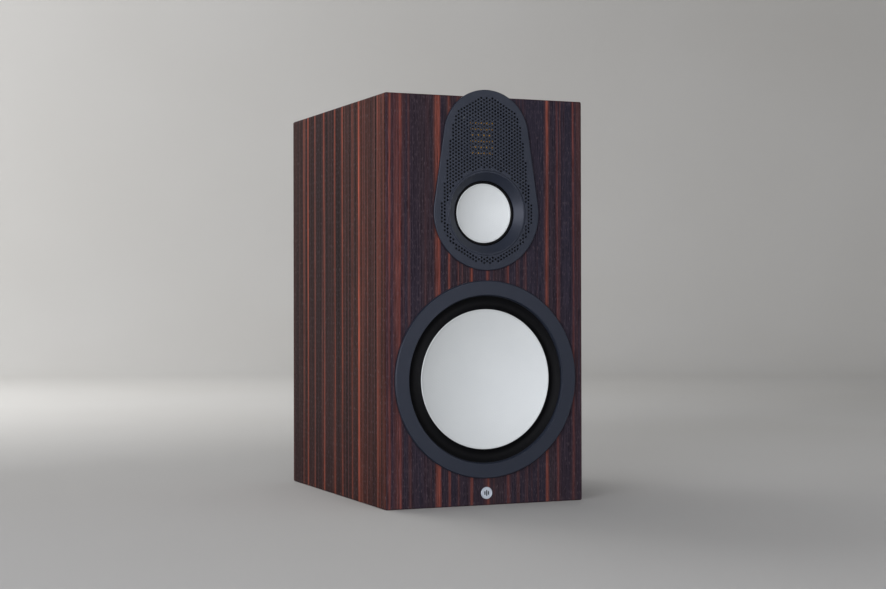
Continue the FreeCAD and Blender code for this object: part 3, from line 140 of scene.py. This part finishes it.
def cone(name, radius, edge, sag, skin, pitch, dent, centre, cells, finish, body, replaced):
    """A dished cone.  A square grid (u, v) from -1 to 1 is carried onto the disc by
    x = u sqrt(1 - v^2 / 2), z = v sqrt(1 - u^2 / 2), and the bowl is a sphere through the rim.
    Three cosines 60 degrees apart press a honeycomb of shallow dents into it.  From the grid's
    edge, rings of points carry on over the bead, round the rim and back across the rear."""
    rim, lip = radius - 1.6 * MM, 0.75 * MM
    sphere = (radius ** 2 + sag ** 2) / (2 * sag)

    def bowl(r):
        return edge + sag - sphere + np.sqrt(sphere ** 2 - r ** 2)

    line = np.linspace(-1, 1, cells + 1)
    u, v = np.meshgrid(line, line, indexing="ij")
    x, z = u * np.sqrt(1 - v ** 2 / 2) * rim, v * np.sqrt(1 - u ** 2 / 2) * rim
    r = np.hypot(x, z)
    wave = TURN / (pitch * math.sqrt(3) / 2)
    combs = sum(np.cos(wave * (x * math.cos(a) + z * math.sin(a)))
                for a in np.radians((0, 60, 120)))
    fade = np.clip((rim - r) / (2.5 * MM), 0, 1)
    y = bowl(r) + dent * fade * (combs + 1.5) / 4.5
    front = np.stack((x, y, z), -1).reshape(-1, 3)
    n = cells + 1
    index = np.arange(n * n).reshape(n, n)
    loop = np.concatenate((index[:-1, 0], index[-1, :-1], index[:0:-1, -1], index[0, :0:-1]))
    round_x, round_z = front[loop, 0] / rim, front[loop, 2] / rim
    bead = np.radians(np.linspace(200, 0, 9))
    bead_r = radius - lip + lip * np.cos(bead)
    bead_y = edge + 0.1 * MM - lip * np.sin(bead)
    back_r = np.array([radius, rim, 0.75 * rim, 0.5 * rim, 0.25 * rim, 0.02 * rim])
    back_y = np.append(edge + skin, bowl(back_r[1:]) + skin)
    ring_r, ring_y = np.append(bead_r, back_r), np.append(bead_y, back_y)
    rings = np.stack((ring_r[:, None] * round_x, np.repeat(ring_y[:, None], len(loop), 1),
                      ring_r[:, None] * round_z), -1).reshape(-1, 3)
    grid = strip(n, n)[:, ::-1]
    band = strip(len(ring_r), len(loop), close_columns=True)[:, ::-1] + n * n
    near, beside = np.arange(len(loop)), (np.arange(len(loop)) + 1) % len(loop)
    seam = np.stack((loop[beside], loop[near], n * n + near, n * n + beside), -1)
    last = n * n + (len(ring_r) - 1) * len(loop)
    cap = np.stack((last + beside, last + near, np.full(len(loop), n * n + len(rings))), -1)
    points = np.concatenate((front, rings, [[0, edge + sag + skin, 0]])) + centre
    return piece(name, points, (grid, seam, band, cap), finish, body, replaced)


def pillow(centre, half, power, steps=(48, 28), waves=0.0):
    """A rounded block: each of cos and sin in a sphere's formula is raised to a power under 1,
    which squares it, and a slow ripple in x, y and z makes its faces uneven."""
    def squared(value):
        return np.sign(value) * np.abs(value) ** power

    around = np.arange(steps[0]) / steps[0] * TURN
    up = np.linspace(-math.pi / 2, math.pi / 2, steps[1])[1:-1]
    up, around = np.meshgrid(up, around, indexing="ij")
    shape = np.stack((squared(np.cos(up)) * squared(np.cos(around)),
                      squared(np.cos(up)) * squared(np.sin(around)), squared(np.sin(up))), -1)
    points = shape.reshape(-1, 3) * half
    if waves:
        ripple = np.sin(points[:, 1] / 0.019) * np.sin(points[:, 2] / 0.023 + 1)
        points[:, 0] *= 1 - waves * (0.5 + 0.5 * ripple)
    rows, columns = up.shape
    poles = np.array([[0, 0, -half[2]], [0, 0, half[2]]])
    points = np.concatenate((points, poles)) + centre
    quads = strip(rows, columns, close_columns=True)
    j = np.arange(columns)
    k = (j + 1) % columns
    top = (rows - 1) * columns
    low = np.stack((k, j, np.full(columns, rows * columns)), -1)
    high = np.stack((top + j, top + k, np.full(columns, rows * columns + 1)), -1)
    return points, quads, np.concatenate((low, high))


def block(name, centre, half, power, finish, body, replaced=(), waves=0.0):
    """A pillow-shaped piece."""
    points, quads, ends = pillow(np.array(centre), np.array(half), power, waves=waves)
    return piece(name, points, (quads, ends), finish, body, replaced)


# ---------------------------------------------------------------- materials


def colour(text):
    """An sRGB hex colour as linear red, green, blue and alpha."""
    share = np.array([int(text[i:i + 2], 16) for i in (1, 3, 5)]) / 255
    return (*np.where(share <= 0.04045, share / 12.92, ((share + 0.055) / 1.055) ** 2.4), 1.0)


def add(tree, kind, inputs, **settings):
    """Adds a node: settings are its own properties, and inputs are values or sockets to link."""
    node = tree.nodes.new("ShaderNode" + kind)
    for name, value in settings.items():
        setattr(node, name, value)
    for name, value in inputs.items():
        if isinstance(value, bpy.types.NodeSocket):
            tree.links.new(value, node.inputs[name])
        else:
            node.inputs[name].default_value = value
    return node


def start(name):
    """An empty material, its tree, and Object coordinates in millimetres."""
    material = bpy.data.materials.new(name)
    material.use_nodes = True
    tree = material.node_tree
    tree.nodes.clear()
    place = add(tree, "TexCoord", {}).outputs["Object"]
    place = add(tree, "VectorMath", {0: place, "Scale": 1 / MM}, operation="SCALE").outputs[0]
    return material, tree, place


def finish_with(tree, shader_inputs):
    """The surface: a Principled shader joined to the output."""
    shader = add(tree, "BsdfPrincipled", shader_inputs)
    add(tree, "OutputMaterial", {"Surface": shader.outputs[0]})


def grainy(name, base, other, roughness, metallic=0.0, size=6.0, bump=0.1, bump_size=0.5,
           rough_spread=0.06, **extra):
    """A finish that drifts between two near colours over patches of the given size in mm, with
    roughness that drifts the same way and a fine bump of its own size in mm."""
    material, tree, place = start(name)
    cloud = add(tree, "TexNoise", {"Vector": place, "Scale": 1 / size, "Detail": 4})
    mixed = add(tree, "Mix", {0: cloud.outputs[0], 6: colour(base), 7: colour(other)},
                data_type="RGBA")
    rough = add(tree, "MapRange", {0: cloud.outputs[0], 3: roughness - rough_spread,
                                   4: roughness + rough_spread})
    fine = add(tree, "TexNoise", {"Vector": place, "Scale": 1 / bump_size, "Detail": 2})
    raised = add(tree, "Bump", {"Height": fine.outputs[0], "Strength": bump,
                                "Distance": 0.05 * MM})
    inputs = {"Base Color": mixed.outputs[2], "Roughness": rough.outputs[0],
              "Normal": raised.outputs[0], "Metallic": metallic}
    inputs.update(extra)
    finish_with(tree, inputs)
    return material


def ramp(tree, value, stops, curve="LINEAR"):
    """A colour ramp through (position, grey or hex colour) stops."""
    node = add(tree, "ValToRGB", {0: value})
    node.color_ramp.interpolation = curve
    elements = node.color_ramp.elements
    while len(elements) < len(stops):
        elements.new(0.5)
    for element, (position, shade) in zip(elements, stops):
        element.position = position
        element.color = colour(shade) if isinstance(shade, str) else (shade, shade, shade, 1)
    return node.outputs[0]


# Macassar ebony, sliced and lacquered: near-black violet-brown ground with red-brown streaks
# along the grain, some as wide as a finger's edge, and pale open pores a few millimetres long.
# The main streaks of each face are listed, as (millimetres across the face, strength).
FRONT_STREAKS = [(-124, 0), (-121.8, 0.35), (-119.5, 0), (-115, 0.12), (-111, 0.12),
                 (-108.4, 0.5), (-106.5, 0), (-66, 0), (-63, 0.35), (-60, 0.55), (-57.6, 0),
                 (-49.4, 0), (-47.2, 0.35), (-45.4, 0), (-21.4, 0), (-18.8, 0.55), (-16.4, 0),
                 (-0.6, 0), (1.8, 0.6), (4.6, 0), (26.4, 0), (28.4, 0.35), (30.4, 0), (77.5, 0),
                 (80, 0.5), (82.4, 0), (91.5, 0), (93.5, 0.3), (95.5, 0), (113, 0), (115, 0.3),
                 (117, 0)]
SIDE_STREAKS = [(-171, 0.2), (-158, 0), (-155, 0.35), (-152, 0), (-148.5, 0.6),
                (-145, 0), (-92.5, 0.1), (-90, 0.35), (-87, 0.2), (-83.2, 1), (-79.5, 0),
                (-64, 0), (-61, 0.5), (-58, 0), (-28.5, 0), (-25, 0.75), (-21.5, 0),
                (-1, 0), (3, 0.95), (6.5, 0), (40, 0), (44.3, 0.6), (48, 0), (77, 0),
                (81, 0.3), (85, 0), (104, 0), (108.5, 0.85), (113, 0), (121, 0),
                (125.5, 0.3), (130, 0)]
# The first ground below is the veneer's own; the second, darker and browner, used on the sides,
# top, bottom and back, is painted shade on the same veneer.
FRONT_LEAF = ("#312d37", "#342c34", "#3a2f33")
SHADED_SIDE_LEAF = ("#251a1b", "#2e1e1d", "#3c2724")
MAIN_STREAK, MINOR_STREAK, HAIR_LINE, PORE = "#b35c44", "#6a4038", "#17141b", "#75656a"


def veneer(name, across, along, half_width, streaks, ground_and_shade, figure=1.0):
    """Veneer whose streaks vary across one axis and run along another (0, 1 or 2), on a ground that
    drifts between three given colours; the darker, browner set given to the sides, top, bottom and
    back is painted shade on the same veneer.  The figure is how strong its fine lines are."""
    material, tree, place = start(name)
    parts = add(tree, "SeparateXYZ", {0: place}).outputs
    flow = add(tree, "CombineXYZ", {0: parts[across], 1: parts[along]}).outputs[0]

    def stretched(wide, long, detail, shift, distortion=0.0):
        scale = add(tree, "Mapping", {"Vector": flow, "Scale": (1 / wide, 1 / long, 1),
                                      "Location": (shift, 0, shift)})
        return add(tree, "TexNoise", {"Vector": scale.outputs[0], "Scale": 1.0,
                                      "Detail": detail, "Distortion": distortion}).outputs[0]

    def mixed(share, one, two, blend="MIX"):
        return add(tree, "Mix", {0: share, 6: one, 7: two}, data_type="RGBA",
                   blend_type=blend).outputs[2]

    # the grain wanders by a millimetre or so over the height of the cabinet
    wander = add(tree, "MapRange", {0: stretched(45, 260, 2, 3.1), 3: -2.2, 4: 2.2}).outputs[0]
    fray = add(tree, "MapRange", {0: stretched(3, 22, 2, 7.7), 3: -0.45, 4: 0.45}).outputs[0]
    shifted = add(tree, "Math", {0: parts[across], 1: wander}, operation="ADD").outputs[0]
    shifted = add(tree, "Math", {0: shifted, 1: fray}, operation="ADD").outputs[0]
    level = add(tree, "MapRange", {0: shifted, 1: -half_width, 2: half_width}).outputs[0]
    main = ramp(tree, level, [((place + half_width) / (2 * half_width), strength)
                              for place, strength in streaks])
    # along its length each main streak fades and comes back
    life = add(tree, "MapRange", {0: stretched(14, 120, 2, 1.3), 1: 0.3, 2: 0.6, 3: 0.55,
                                  4: 1.0}).outputs[0]
    main = add(tree, "Math", {0: main, 1: life}, operation="MULTIPLY").outputs[0]
    bands = ramp(tree, stretched(26, 900, 2, 5.0), list(zip((0.35, 0.5, 0.66), ground_and_shade)))
    minor = ramp(tree, stretched(5.5, 1100, 3, 9.0),
                 [(0.38, 0.3 * (figure - 1)), (0.44, 0.0), (0.5, 0.0), (0.6, 0.3 * figure),
                  (0.72, 0.6 * figure)])
    hair = ramp(tree, stretched(1.3, 420, 2, 2.0), [(0.4, 0.0), (0.58, 1.0)])
    wood = mixed(minor, bands, colour(MINOR_STREAK))
    wood = mixed(main, wood, colour(MAIN_STREAK))
    dark = add(tree, "Math", {0: hair, 1: 0.44}, operation="MULTIPLY").outputs[0]
    wood = mixed(dark, wood, colour(HAIR_LINE))
    grain = ramp(tree, stretched(0.9, 26, 3, 4.0), [(0.3, 0.55), (0.7, 1.45)])
    if figure > 1:
        lines = ramp(tree, stretched(3.2, 900, 3, 8.0), [(0.38, 0.5), (0.5, 1.0), (0.64, 1.6)])
        wood = mixed(0.9, wood, lines, "MULTIPLY")
    wood = mixed(0.9, wood, grain, "MULTIPLY")
    pores = ramp(tree, stretched(0.9, 6, 1, 6.0), [(0.6, 0.0), (0.74, 0.32 * figure)])
    wood = mixed(pores, wood, colour(PORE))
    rough = add(tree, "MapRange", {0: grain, 3: 0.34, 4: 0.46})
    raised = add(tree, "Bump", {"Height": grain, "Strength": 0.12, "Distance": 0.05 * MM})
    finish_with(tree, {"Base Color": wood, "Roughness": rough.outputs[0],
                       "Normal": raised.outputs[0], "Specular IOR Level": 0.015})
    return material


def split(name, left, right, roughness, metallic=0.0, **extra):
    """A moulded or plated finish in one colour left of the middle and another right of it."""
    material, tree, place = start(name)
    side = add(tree, "SeparateXYZ", {0: place}).outputs[0]
    share = add(tree, "Math", {0: side, 1: 0.0}, operation="GREATER_THAN").outputs[0]
    both = add(tree, "Mix", {0: share, 6: colour(left), 7: colour(right)}, data_type="RGBA")
    cloud = add(tree, "TexNoise", {"Vector": place, "Scale": 0.3, "Detail": 3}).outputs[0]
    rough = add(tree, "MapRange", {0: cloud, 3: roughness - 0.05, 4: roughness + 0.05})
    inputs = {"Base Color": both.outputs[2], "Roughness": rough.outputs[0],
              "Metallic": metallic}
    inputs.update(extra)
    finish_with(tree, inputs)
    return material


def wound_copper():
    """Enamelled copper wire in even turns: bright copper, with painted shade as dark lines in the
    grooves between the turns.
    """
    wire = 1.2
    material, tree, place = start("enamelled copper wire")
    wave = add(tree, "TexWave", {"Vector": place, "Scale": 1 / wire / 2, "Distortion": 1.2,
                                 "Detail": 1, "Detail Scale": 0.4}, bands_direction="Z")
    # dark in the grooves between the turns: painted shade
    tint = ramp(tree, wave.outputs["Fac"], [(0.0, "#4a2413"), (0.35, "#9a5730"),
                                            (1.0, "#c47c4a")])
    raised = add(tree, "Bump", {"Height": wave.outputs["Fac"], "Strength": 0.5,
                                "Distance": 0.2 * MM})
    finish_with(tree, {"Base Color": tint, "Metallic": 1.0, "Roughness": 0.32,
                       "Normal": raised.outputs[0]})
    return material


def woven_cloth(name, light, dark, thread):
    """Plain-woven cloth set with resin: two sets of threads at right angles."""
    material, tree, place = start(name)
    warp = add(tree, "TexWave", {"Vector": place, "Scale": 1 / thread / 2, "Distortion": 0.3},
               bands_direction="X").outputs["Fac"]
    weft = add(tree, "TexWave", {"Vector": place, "Scale": 1 / thread / 2, "Distortion": 0.3},
               bands_direction="Z").outputs["Fac"]
    weave = add(tree, "Math", {0: warp, 1: weft}, operation="MULTIPLY").outputs[0]
    tint = ramp(tree, weave, [(0.0, dark), (0.7, light)])
    raised = add(tree, "Bump", {"Height": weave, "Strength": 0.4, "Distance": 0.2 * MM})
    finish_with(tree, {"Base Color": tint, "Roughness": 0.85, "Normal": raised.outputs[0],
                       "Sheen Weight": 0.15})
    return material


HALF_WIDTH, HALF_DEPTH = 126.75, 172.5
FINISHES = {
    # cut edges of medium-density fibreboard: fine even fibre, no grain
    "bare_board": grainy("fibreboard", "#a98a63", "#8f7350", 0.85, size=9, bump=0.3,
                         bump_size=0.7),
    # aluminium plate, bead-blasted and anodised blue-black: even, satin, slightly blue
    "satin_black_metal": grainy("blue-black anodised aluminium", "#222836", "#1d2330", 0.46,
                                metallic=0.25, size=14, bump=0.12, bump_size=0.35),
    # zinc casting with matt powder coat
    "cast_black": grainy("matt black powder coat", "#17181b", "#0f1012", 0.62, size=8,
                         bump=0.35, bump_size=0.6),
    # ABS moulded against a spark-eroded tool: dark grey with a leathery grain
    "black_plastic": grainy("moulded black ABS", "#16171a", "#101113", 0.5, size=5, bump=0.4,
                            bump_size=0.8),
    # magnesium foil with a hard ceramic skin: pale cool grey, softly glossy
    "silver_cone": grainy("ceramic-skinned magnesium", "#d6d9d7", "#d0d3d2", 0.55,
                          metallic=0.05, size=40, bump=0.04, bump_size=0.4),
    # nitrile rubber, moulded, with a dull sheen: its near-black colour is painted shade, darker
    # than the rubber itself, for the surrounds deep in their recesses
    "rubber": grainy("moulded rubber", "#030304", "#050507", 0.65, size=6, bump=0.1,
                     bump_size=0.5, **{"Specular IOR Level": 0.15}),
    # polyimide foil with etched conductors: amber, painted brighter than the foil itself as painted
    # light for the foil seen through the perforated plate
    "polyimide": grainy("amber polyimide foil", "#ffc454", "#eeb03e", 0.4, size=3, bump=0.2),
    "zinc_steel": grainy("zinc-plated steel", "#a9aaa6", "#94958f", 0.36, metallic=1.0, size=5),
    "ferrite": grainy("sintered ferrite", "#232326", "#19191b", 0.6, size=3, bump=0.4,
                      bump_size=0.6),
    "spider_cloth": woven_cloth("resin-set cotton", "#b08a4c", "#7d5c2c", 0.7),
    "felt": grainy("grey needle felt", "#6e6e71", "#5b5b5e", 0.95, size=4, bump=0.9,
                   bump_size=0.9, **{"Sheen Weight": 0.3}),
    # aluminium, turned and satin-anodised clear
    "silver_trim": grainy("satin anodised aluminium", "#d3dae3", "#c8cfd8", 0.42, metallic=0.6,
                          size=4),
    "gold_brass": grainy("gold-plated brass", "#d7aa52", "#c89a45", 0.22, metallic=1.0, size=6,
                         bump=0.05),
    "knob_black": grainy("black acrylic knob", "#0d0d0e", "#121214", 0.2, size=5, bump=0.05,
                         **{"Coat Weight": 0.4}),
    "knob_red": grainy("red acrylic knob", "#8e1215", "#7c0e12", 0.2, size=5, bump=0.05,
                       **{"Coat Weight": 0.4}),
    "circuit_board": grainy("green glass-epoxy board", "#16412c", "#123624", 0.4, size=12),
    "copper_wire": wound_copper(),
    "capacitor_film": grainy("yellow polyester film", "#b9a45c", "#a8934c", 0.3, size=7,
                             **{"Coat Weight": 0.3}),
    "ceramic": grainy("cement-filled ceramic", "#d3d0c6", "#c3bfb3", 0.8, size=3, bump=0.3),
    "nickel": grainy("nickel plate", "#b8b5ac", "#a9a69d", 0.25, metallic=1.0, size=5),
}
SPECIAL = {
    "tweeter_front_pole": FINISHES["satin_black_metal"],
    "post_bushes": split("moulded red and black bushes", "#121214", "#7c0e12", 0.35),
    "front_baffle": veneer("ebony veneer on the front", 0, 2, HALF_WIDTH, FRONT_STREAKS,
                           FRONT_LEAF),
    "rear_panel": veneer("ebony veneer on the back", 0, 2, HALF_WIDTH,
                         [(-place, strength) for place, strength in FRONT_STREAKS[::-1]],
                         SHADED_SIDE_LEAF),
    "left_side_panel": veneer("ebony veneer on the sides", 1, 2, HALF_DEPTH, SIDE_STREAKS,
                              SHADED_SIDE_LEAF, figure=1.5),
    "top_panel": veneer("ebony veneer on the top", 1, 0, HALF_DEPTH, SIDE_STREAKS, SHADED_SIDE_LEAF),
}
SPECIAL["right_side_panel"] = SPECIAL["left_side_panel"]
SPECIAL["bottom_panel"] = SPECIAL["top_panel"]

slots = {part["node"]: part["material_slot"] for part in frame["record"]["subparts"]}
for node, thing in frame["nodes"].items():
    material = SPECIAL.get(node) or FINISHES[slots[node]]
    for slot in thing.material_slots:
        slot.material = material

# ---------------------------------------------------------------- cones, surrounds and spiders

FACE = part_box("front_baffle")[0].y


def disc(node):
    """The axis, radius, front and back of a round node."""
    low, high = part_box(node)
    axis = np.array([(low.x + high.x) / 2, 0, (low.z + high.z) / 2])
    return axis, (high.x - low.x) / 2, low.y, high.y


def suspended(driver, sag, skin, pitch, dent, cells, rise, roll_skin, land, coil, wave,
              spider_skin, spider_land):
    """The moving front of a driver: its cone, the surround about it and the spider behind it.
    All but cells, the squares across the cone's grid, are in millimetres: the depth of the dish
    and its skin, the pitch and depth of the dents, the rise, skin and outer land of the
    surround, the spider's inner radius, the height of its waves, its skin and its outer land."""
    sag, skin, pitch, dent, rise, roll_skin, land, coil, wave, spider_skin, spider_land = (
        size * MM for size in (sag, skin, pitch, dent, rise, roll_skin, land, coil, wave,
                               spider_skin, spider_land))
    moving = driver + "_moving"
    axis, radius, _, back = disc(driver + "_cone")
    cone(driver + "_dish", radius, back - skin - sag, sag, skin, pitch, dent, axis, cells,
         FINISHES["silver_cone"], moving, [driver + "_cone"])
    _, edge, front, back = disc(driver + "_surround")
    section = half_roll(radius + 0.05 * MM, edge - land, edge,
                        front if rise < 0 else back - roll_skin, rise, roll_skin)
    flexing(driver + "_roll", section, axis, radius + 0.5 * MM, edge - land - 0.5 * MM,
            FINISHES["rubber"], [driver + "_surround"])
    _, edge, front, back = disc(driver + "_spider")
    section = corrugated(coil, edge - spider_land, edge, (front + back - spider_skin) / 2,
                         wave, spider_skin)
    flexing(driver + "_corrugated_spider", section, axis, coil + 1.5 * MM, edge - spider_land,
            FINISHES["spider_cloth"], [driver + "_spider"])


suspended("woofer", sag=20, skin=1.5, pitch=3.2, dent=0.12, cells=240, rise=-4.4,
          roll_skin=0.6, land=8, coil=25.05, wave=1.2, spider_skin=0.8, spider_land=7.5)
suspended("mid", sag=8, skin=0.8, pitch=2.4, dent=0.07, cells=150, rise=0.95, roll_skin=0.5,
          land=5, coil=16.05, wave=0.4, spider_skin=0.5, spider_land=3.5)

# ---------------------------------------------------------------- badge, foil and felt

badge_low, badge_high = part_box("badge")
badge_centre = (badge_low + badge_high) / 2
ENAMEL = grainy("black enamel", "#1c1e22", "#15171a", 0.3, size=2, bump=0.02)
for i, height in enumerate((2.2, 3.5, 2.2)):
    block("badge_bar_%d" % (i + 1),
          (badge_centre.x + (i - 1) * 2.3 * MM, badge_low.y + 0.35 * MM, badge_centre.z),
          (0.7 * MM, 0.25 * MM, height * MM), 0.45, ENAMEL, "cabinet")

# the front pleats of the tweeter's foil swell into the six slots of its pole plate
SLOT_PITCH = 7.1 * MM
pole_low, pole_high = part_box("tweeter_front_pole")
for i in range(6):
    height = (pole_low.z + pole_high.z) / 2 + (i - 2.5) * SLOT_PITCH
    block("foil_pleat_%d" % (i + 1), (0, pole_low.y + 1.1 * MM, height),
          (15.4 * MM, 1.0 * MM, 1.12 * MM), 0.4, FINISHES["polyimide"], "cabinet")

felt_low, felt_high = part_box("wadding")
shelf_low, shelf_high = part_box("shelf_brace")
thick, clear = 14 * MM, 12 * MM
first = True
for side in (-1, 1):
    x = side * (felt_high.x - thick / 2)
    for name, low, high in (("lower", felt_low.z, shelf_low.z - clear),
                            ("upper", shelf_high.z + clear, felt_high.z)):
        pad = block("%s_felt_%s" % (name, "left" if side < 0 else "right"),
                    (x, (felt_low.y + felt_high.y) / 2, (low + high) / 2),
                    (thick / 2, (felt_high.y - felt_low.y) / 2, (high - low) / 2), 0.22,
                    FINISHES["felt"], "cabinet", ["wadding"] if first else (), 0.25)
        first = False

# ---------------------------------------------------------------- studio


def aimed(thing, place, target, roll=0.0):
    """Puts a light or the camera at a place, looking at a target."""
    look = (Vector(target) - Vector(place)).to_track_quat("-Z", "Y")
    turn = look.to_matrix().to_4x4() @ Matrix.Rotation(roll, 4, "Z")
    thing.matrix_world = Matrix.Translation(place) @ turn


def studio():
    """A pale floor that curves up into a wall all round: a profile of (radius, height) turned
    about the vertical axis."""
    sides = 128
    bend = np.linspace(0, math.pi / 2, 24)
    radius = np.concatenate(([0.01, 0.5, 1.2, 2.0, 2.8], 3.4 + 1.2 * np.sin(bend), [4.6]))
    height = np.concatenate((np.zeros(5), 1.2 * (1 - np.cos(bend)), [3.4]))
    around = np.arange(sides) / sides * TURN
    x, y = radius[:, None] * np.cos(around), radius[:, None] * np.sin(around)
    points = np.stack((x, y, np.repeat(height[:, None], sides, 1)), -1).reshape(-1, 3)
    material, tree, place = start("pale painted floor")
    cloud = add(tree, "TexNoise", {"Vector": place, "Scale": 1 / 900, "Detail": 2}).outputs[0]
    tint = add(tree, "Mix", {0: cloud, 6: colour("#bfbebc"), 7: colour("#b7b5b1")},
               data_type="RGBA")
    finish_with(tree, {"Base Color": tint.outputs[2], "Roughness": 0.9})
    wall = strip(len(radius), sides, close_columns=True)[:, ::-1]
    j = np.arange(sides)
    middle = np.stack((j, (j + 1) % sides, np.full(sides, len(points))), -1)
    piece("studio_floor", np.concatenate((points, [[0, 0, 0]])), (wall, middle), material)


def softbox(name, place, target, size, power, tint):
    """A rectangular soft light."""
    light = bpy.data.lights.new(name, "AREA")
    light.shape = "RECTANGLE"
    light.size, light.size_y = size
    light.energy = power
    light.color = colour(tint)[:3]
    lamp = bpy.data.objects.new(name, light)
    lamp.visible_camera = False
    bpy.context.scene.collection.objects.link(lamp)
    aimed(lamp, place, target)


studio()
softbox("window_left", (-2.3, -2.1, 0.5), (0, 0, 0.25), (1.8, 1.2), 60, "#f4f6ff")
softbox("front_fill", (0.1, -3.4, 0.9), (0, 0, 0.25), (2.2, 1.2), 30, "#f4f6ff")
softbox("rear_top", (-0.7, 2.2, 2.3), (0, 0, 0.4), (1.8, 1.2), 26, "#ffffff")
softbox("wall_wash", (-1.9, 1.4, 2.6), (-2.9, 4.4, 0.9), (1.4, 1.2), 175, "#ffffff")

world = bpy.data.worlds.new("studio air")
world.use_nodes = True
sky = world.node_tree.nodes["Background"]
sky.inputs["Color"].default_value = colour("#e6e8ec")
sky.inputs["Strength"].default_value = 0.44
bpy.context.scene.world = world
bpy.context.scene.view_settings.view_transform = "Standard"

# the camera stands left of the cabinet's front, level with its middle
YAW, PITCH, ROLL = math.radians(22.932), math.radians(0.275), math.radians(-0.114)
CAMERA_AT = Vector((-0.8023, FACE - 1.7663, 0.2384))
heading = Vector((math.sin(YAW), math.cos(YAW), math.tan(PITCH)))
lens = bpy.data.cameras.new("studio_camera")
lens.sensor_width = 36
lens.lens = 67.02
lens.clip_end = 30
camera = bpy.data.objects.new("studio_camera", lens)
bpy.context.scene.collection.objects.link(camera)
aimed(camera, CAMERA_AT, CAMERA_AT + heading, ROLL)
bpy.context.scene.camera = camera
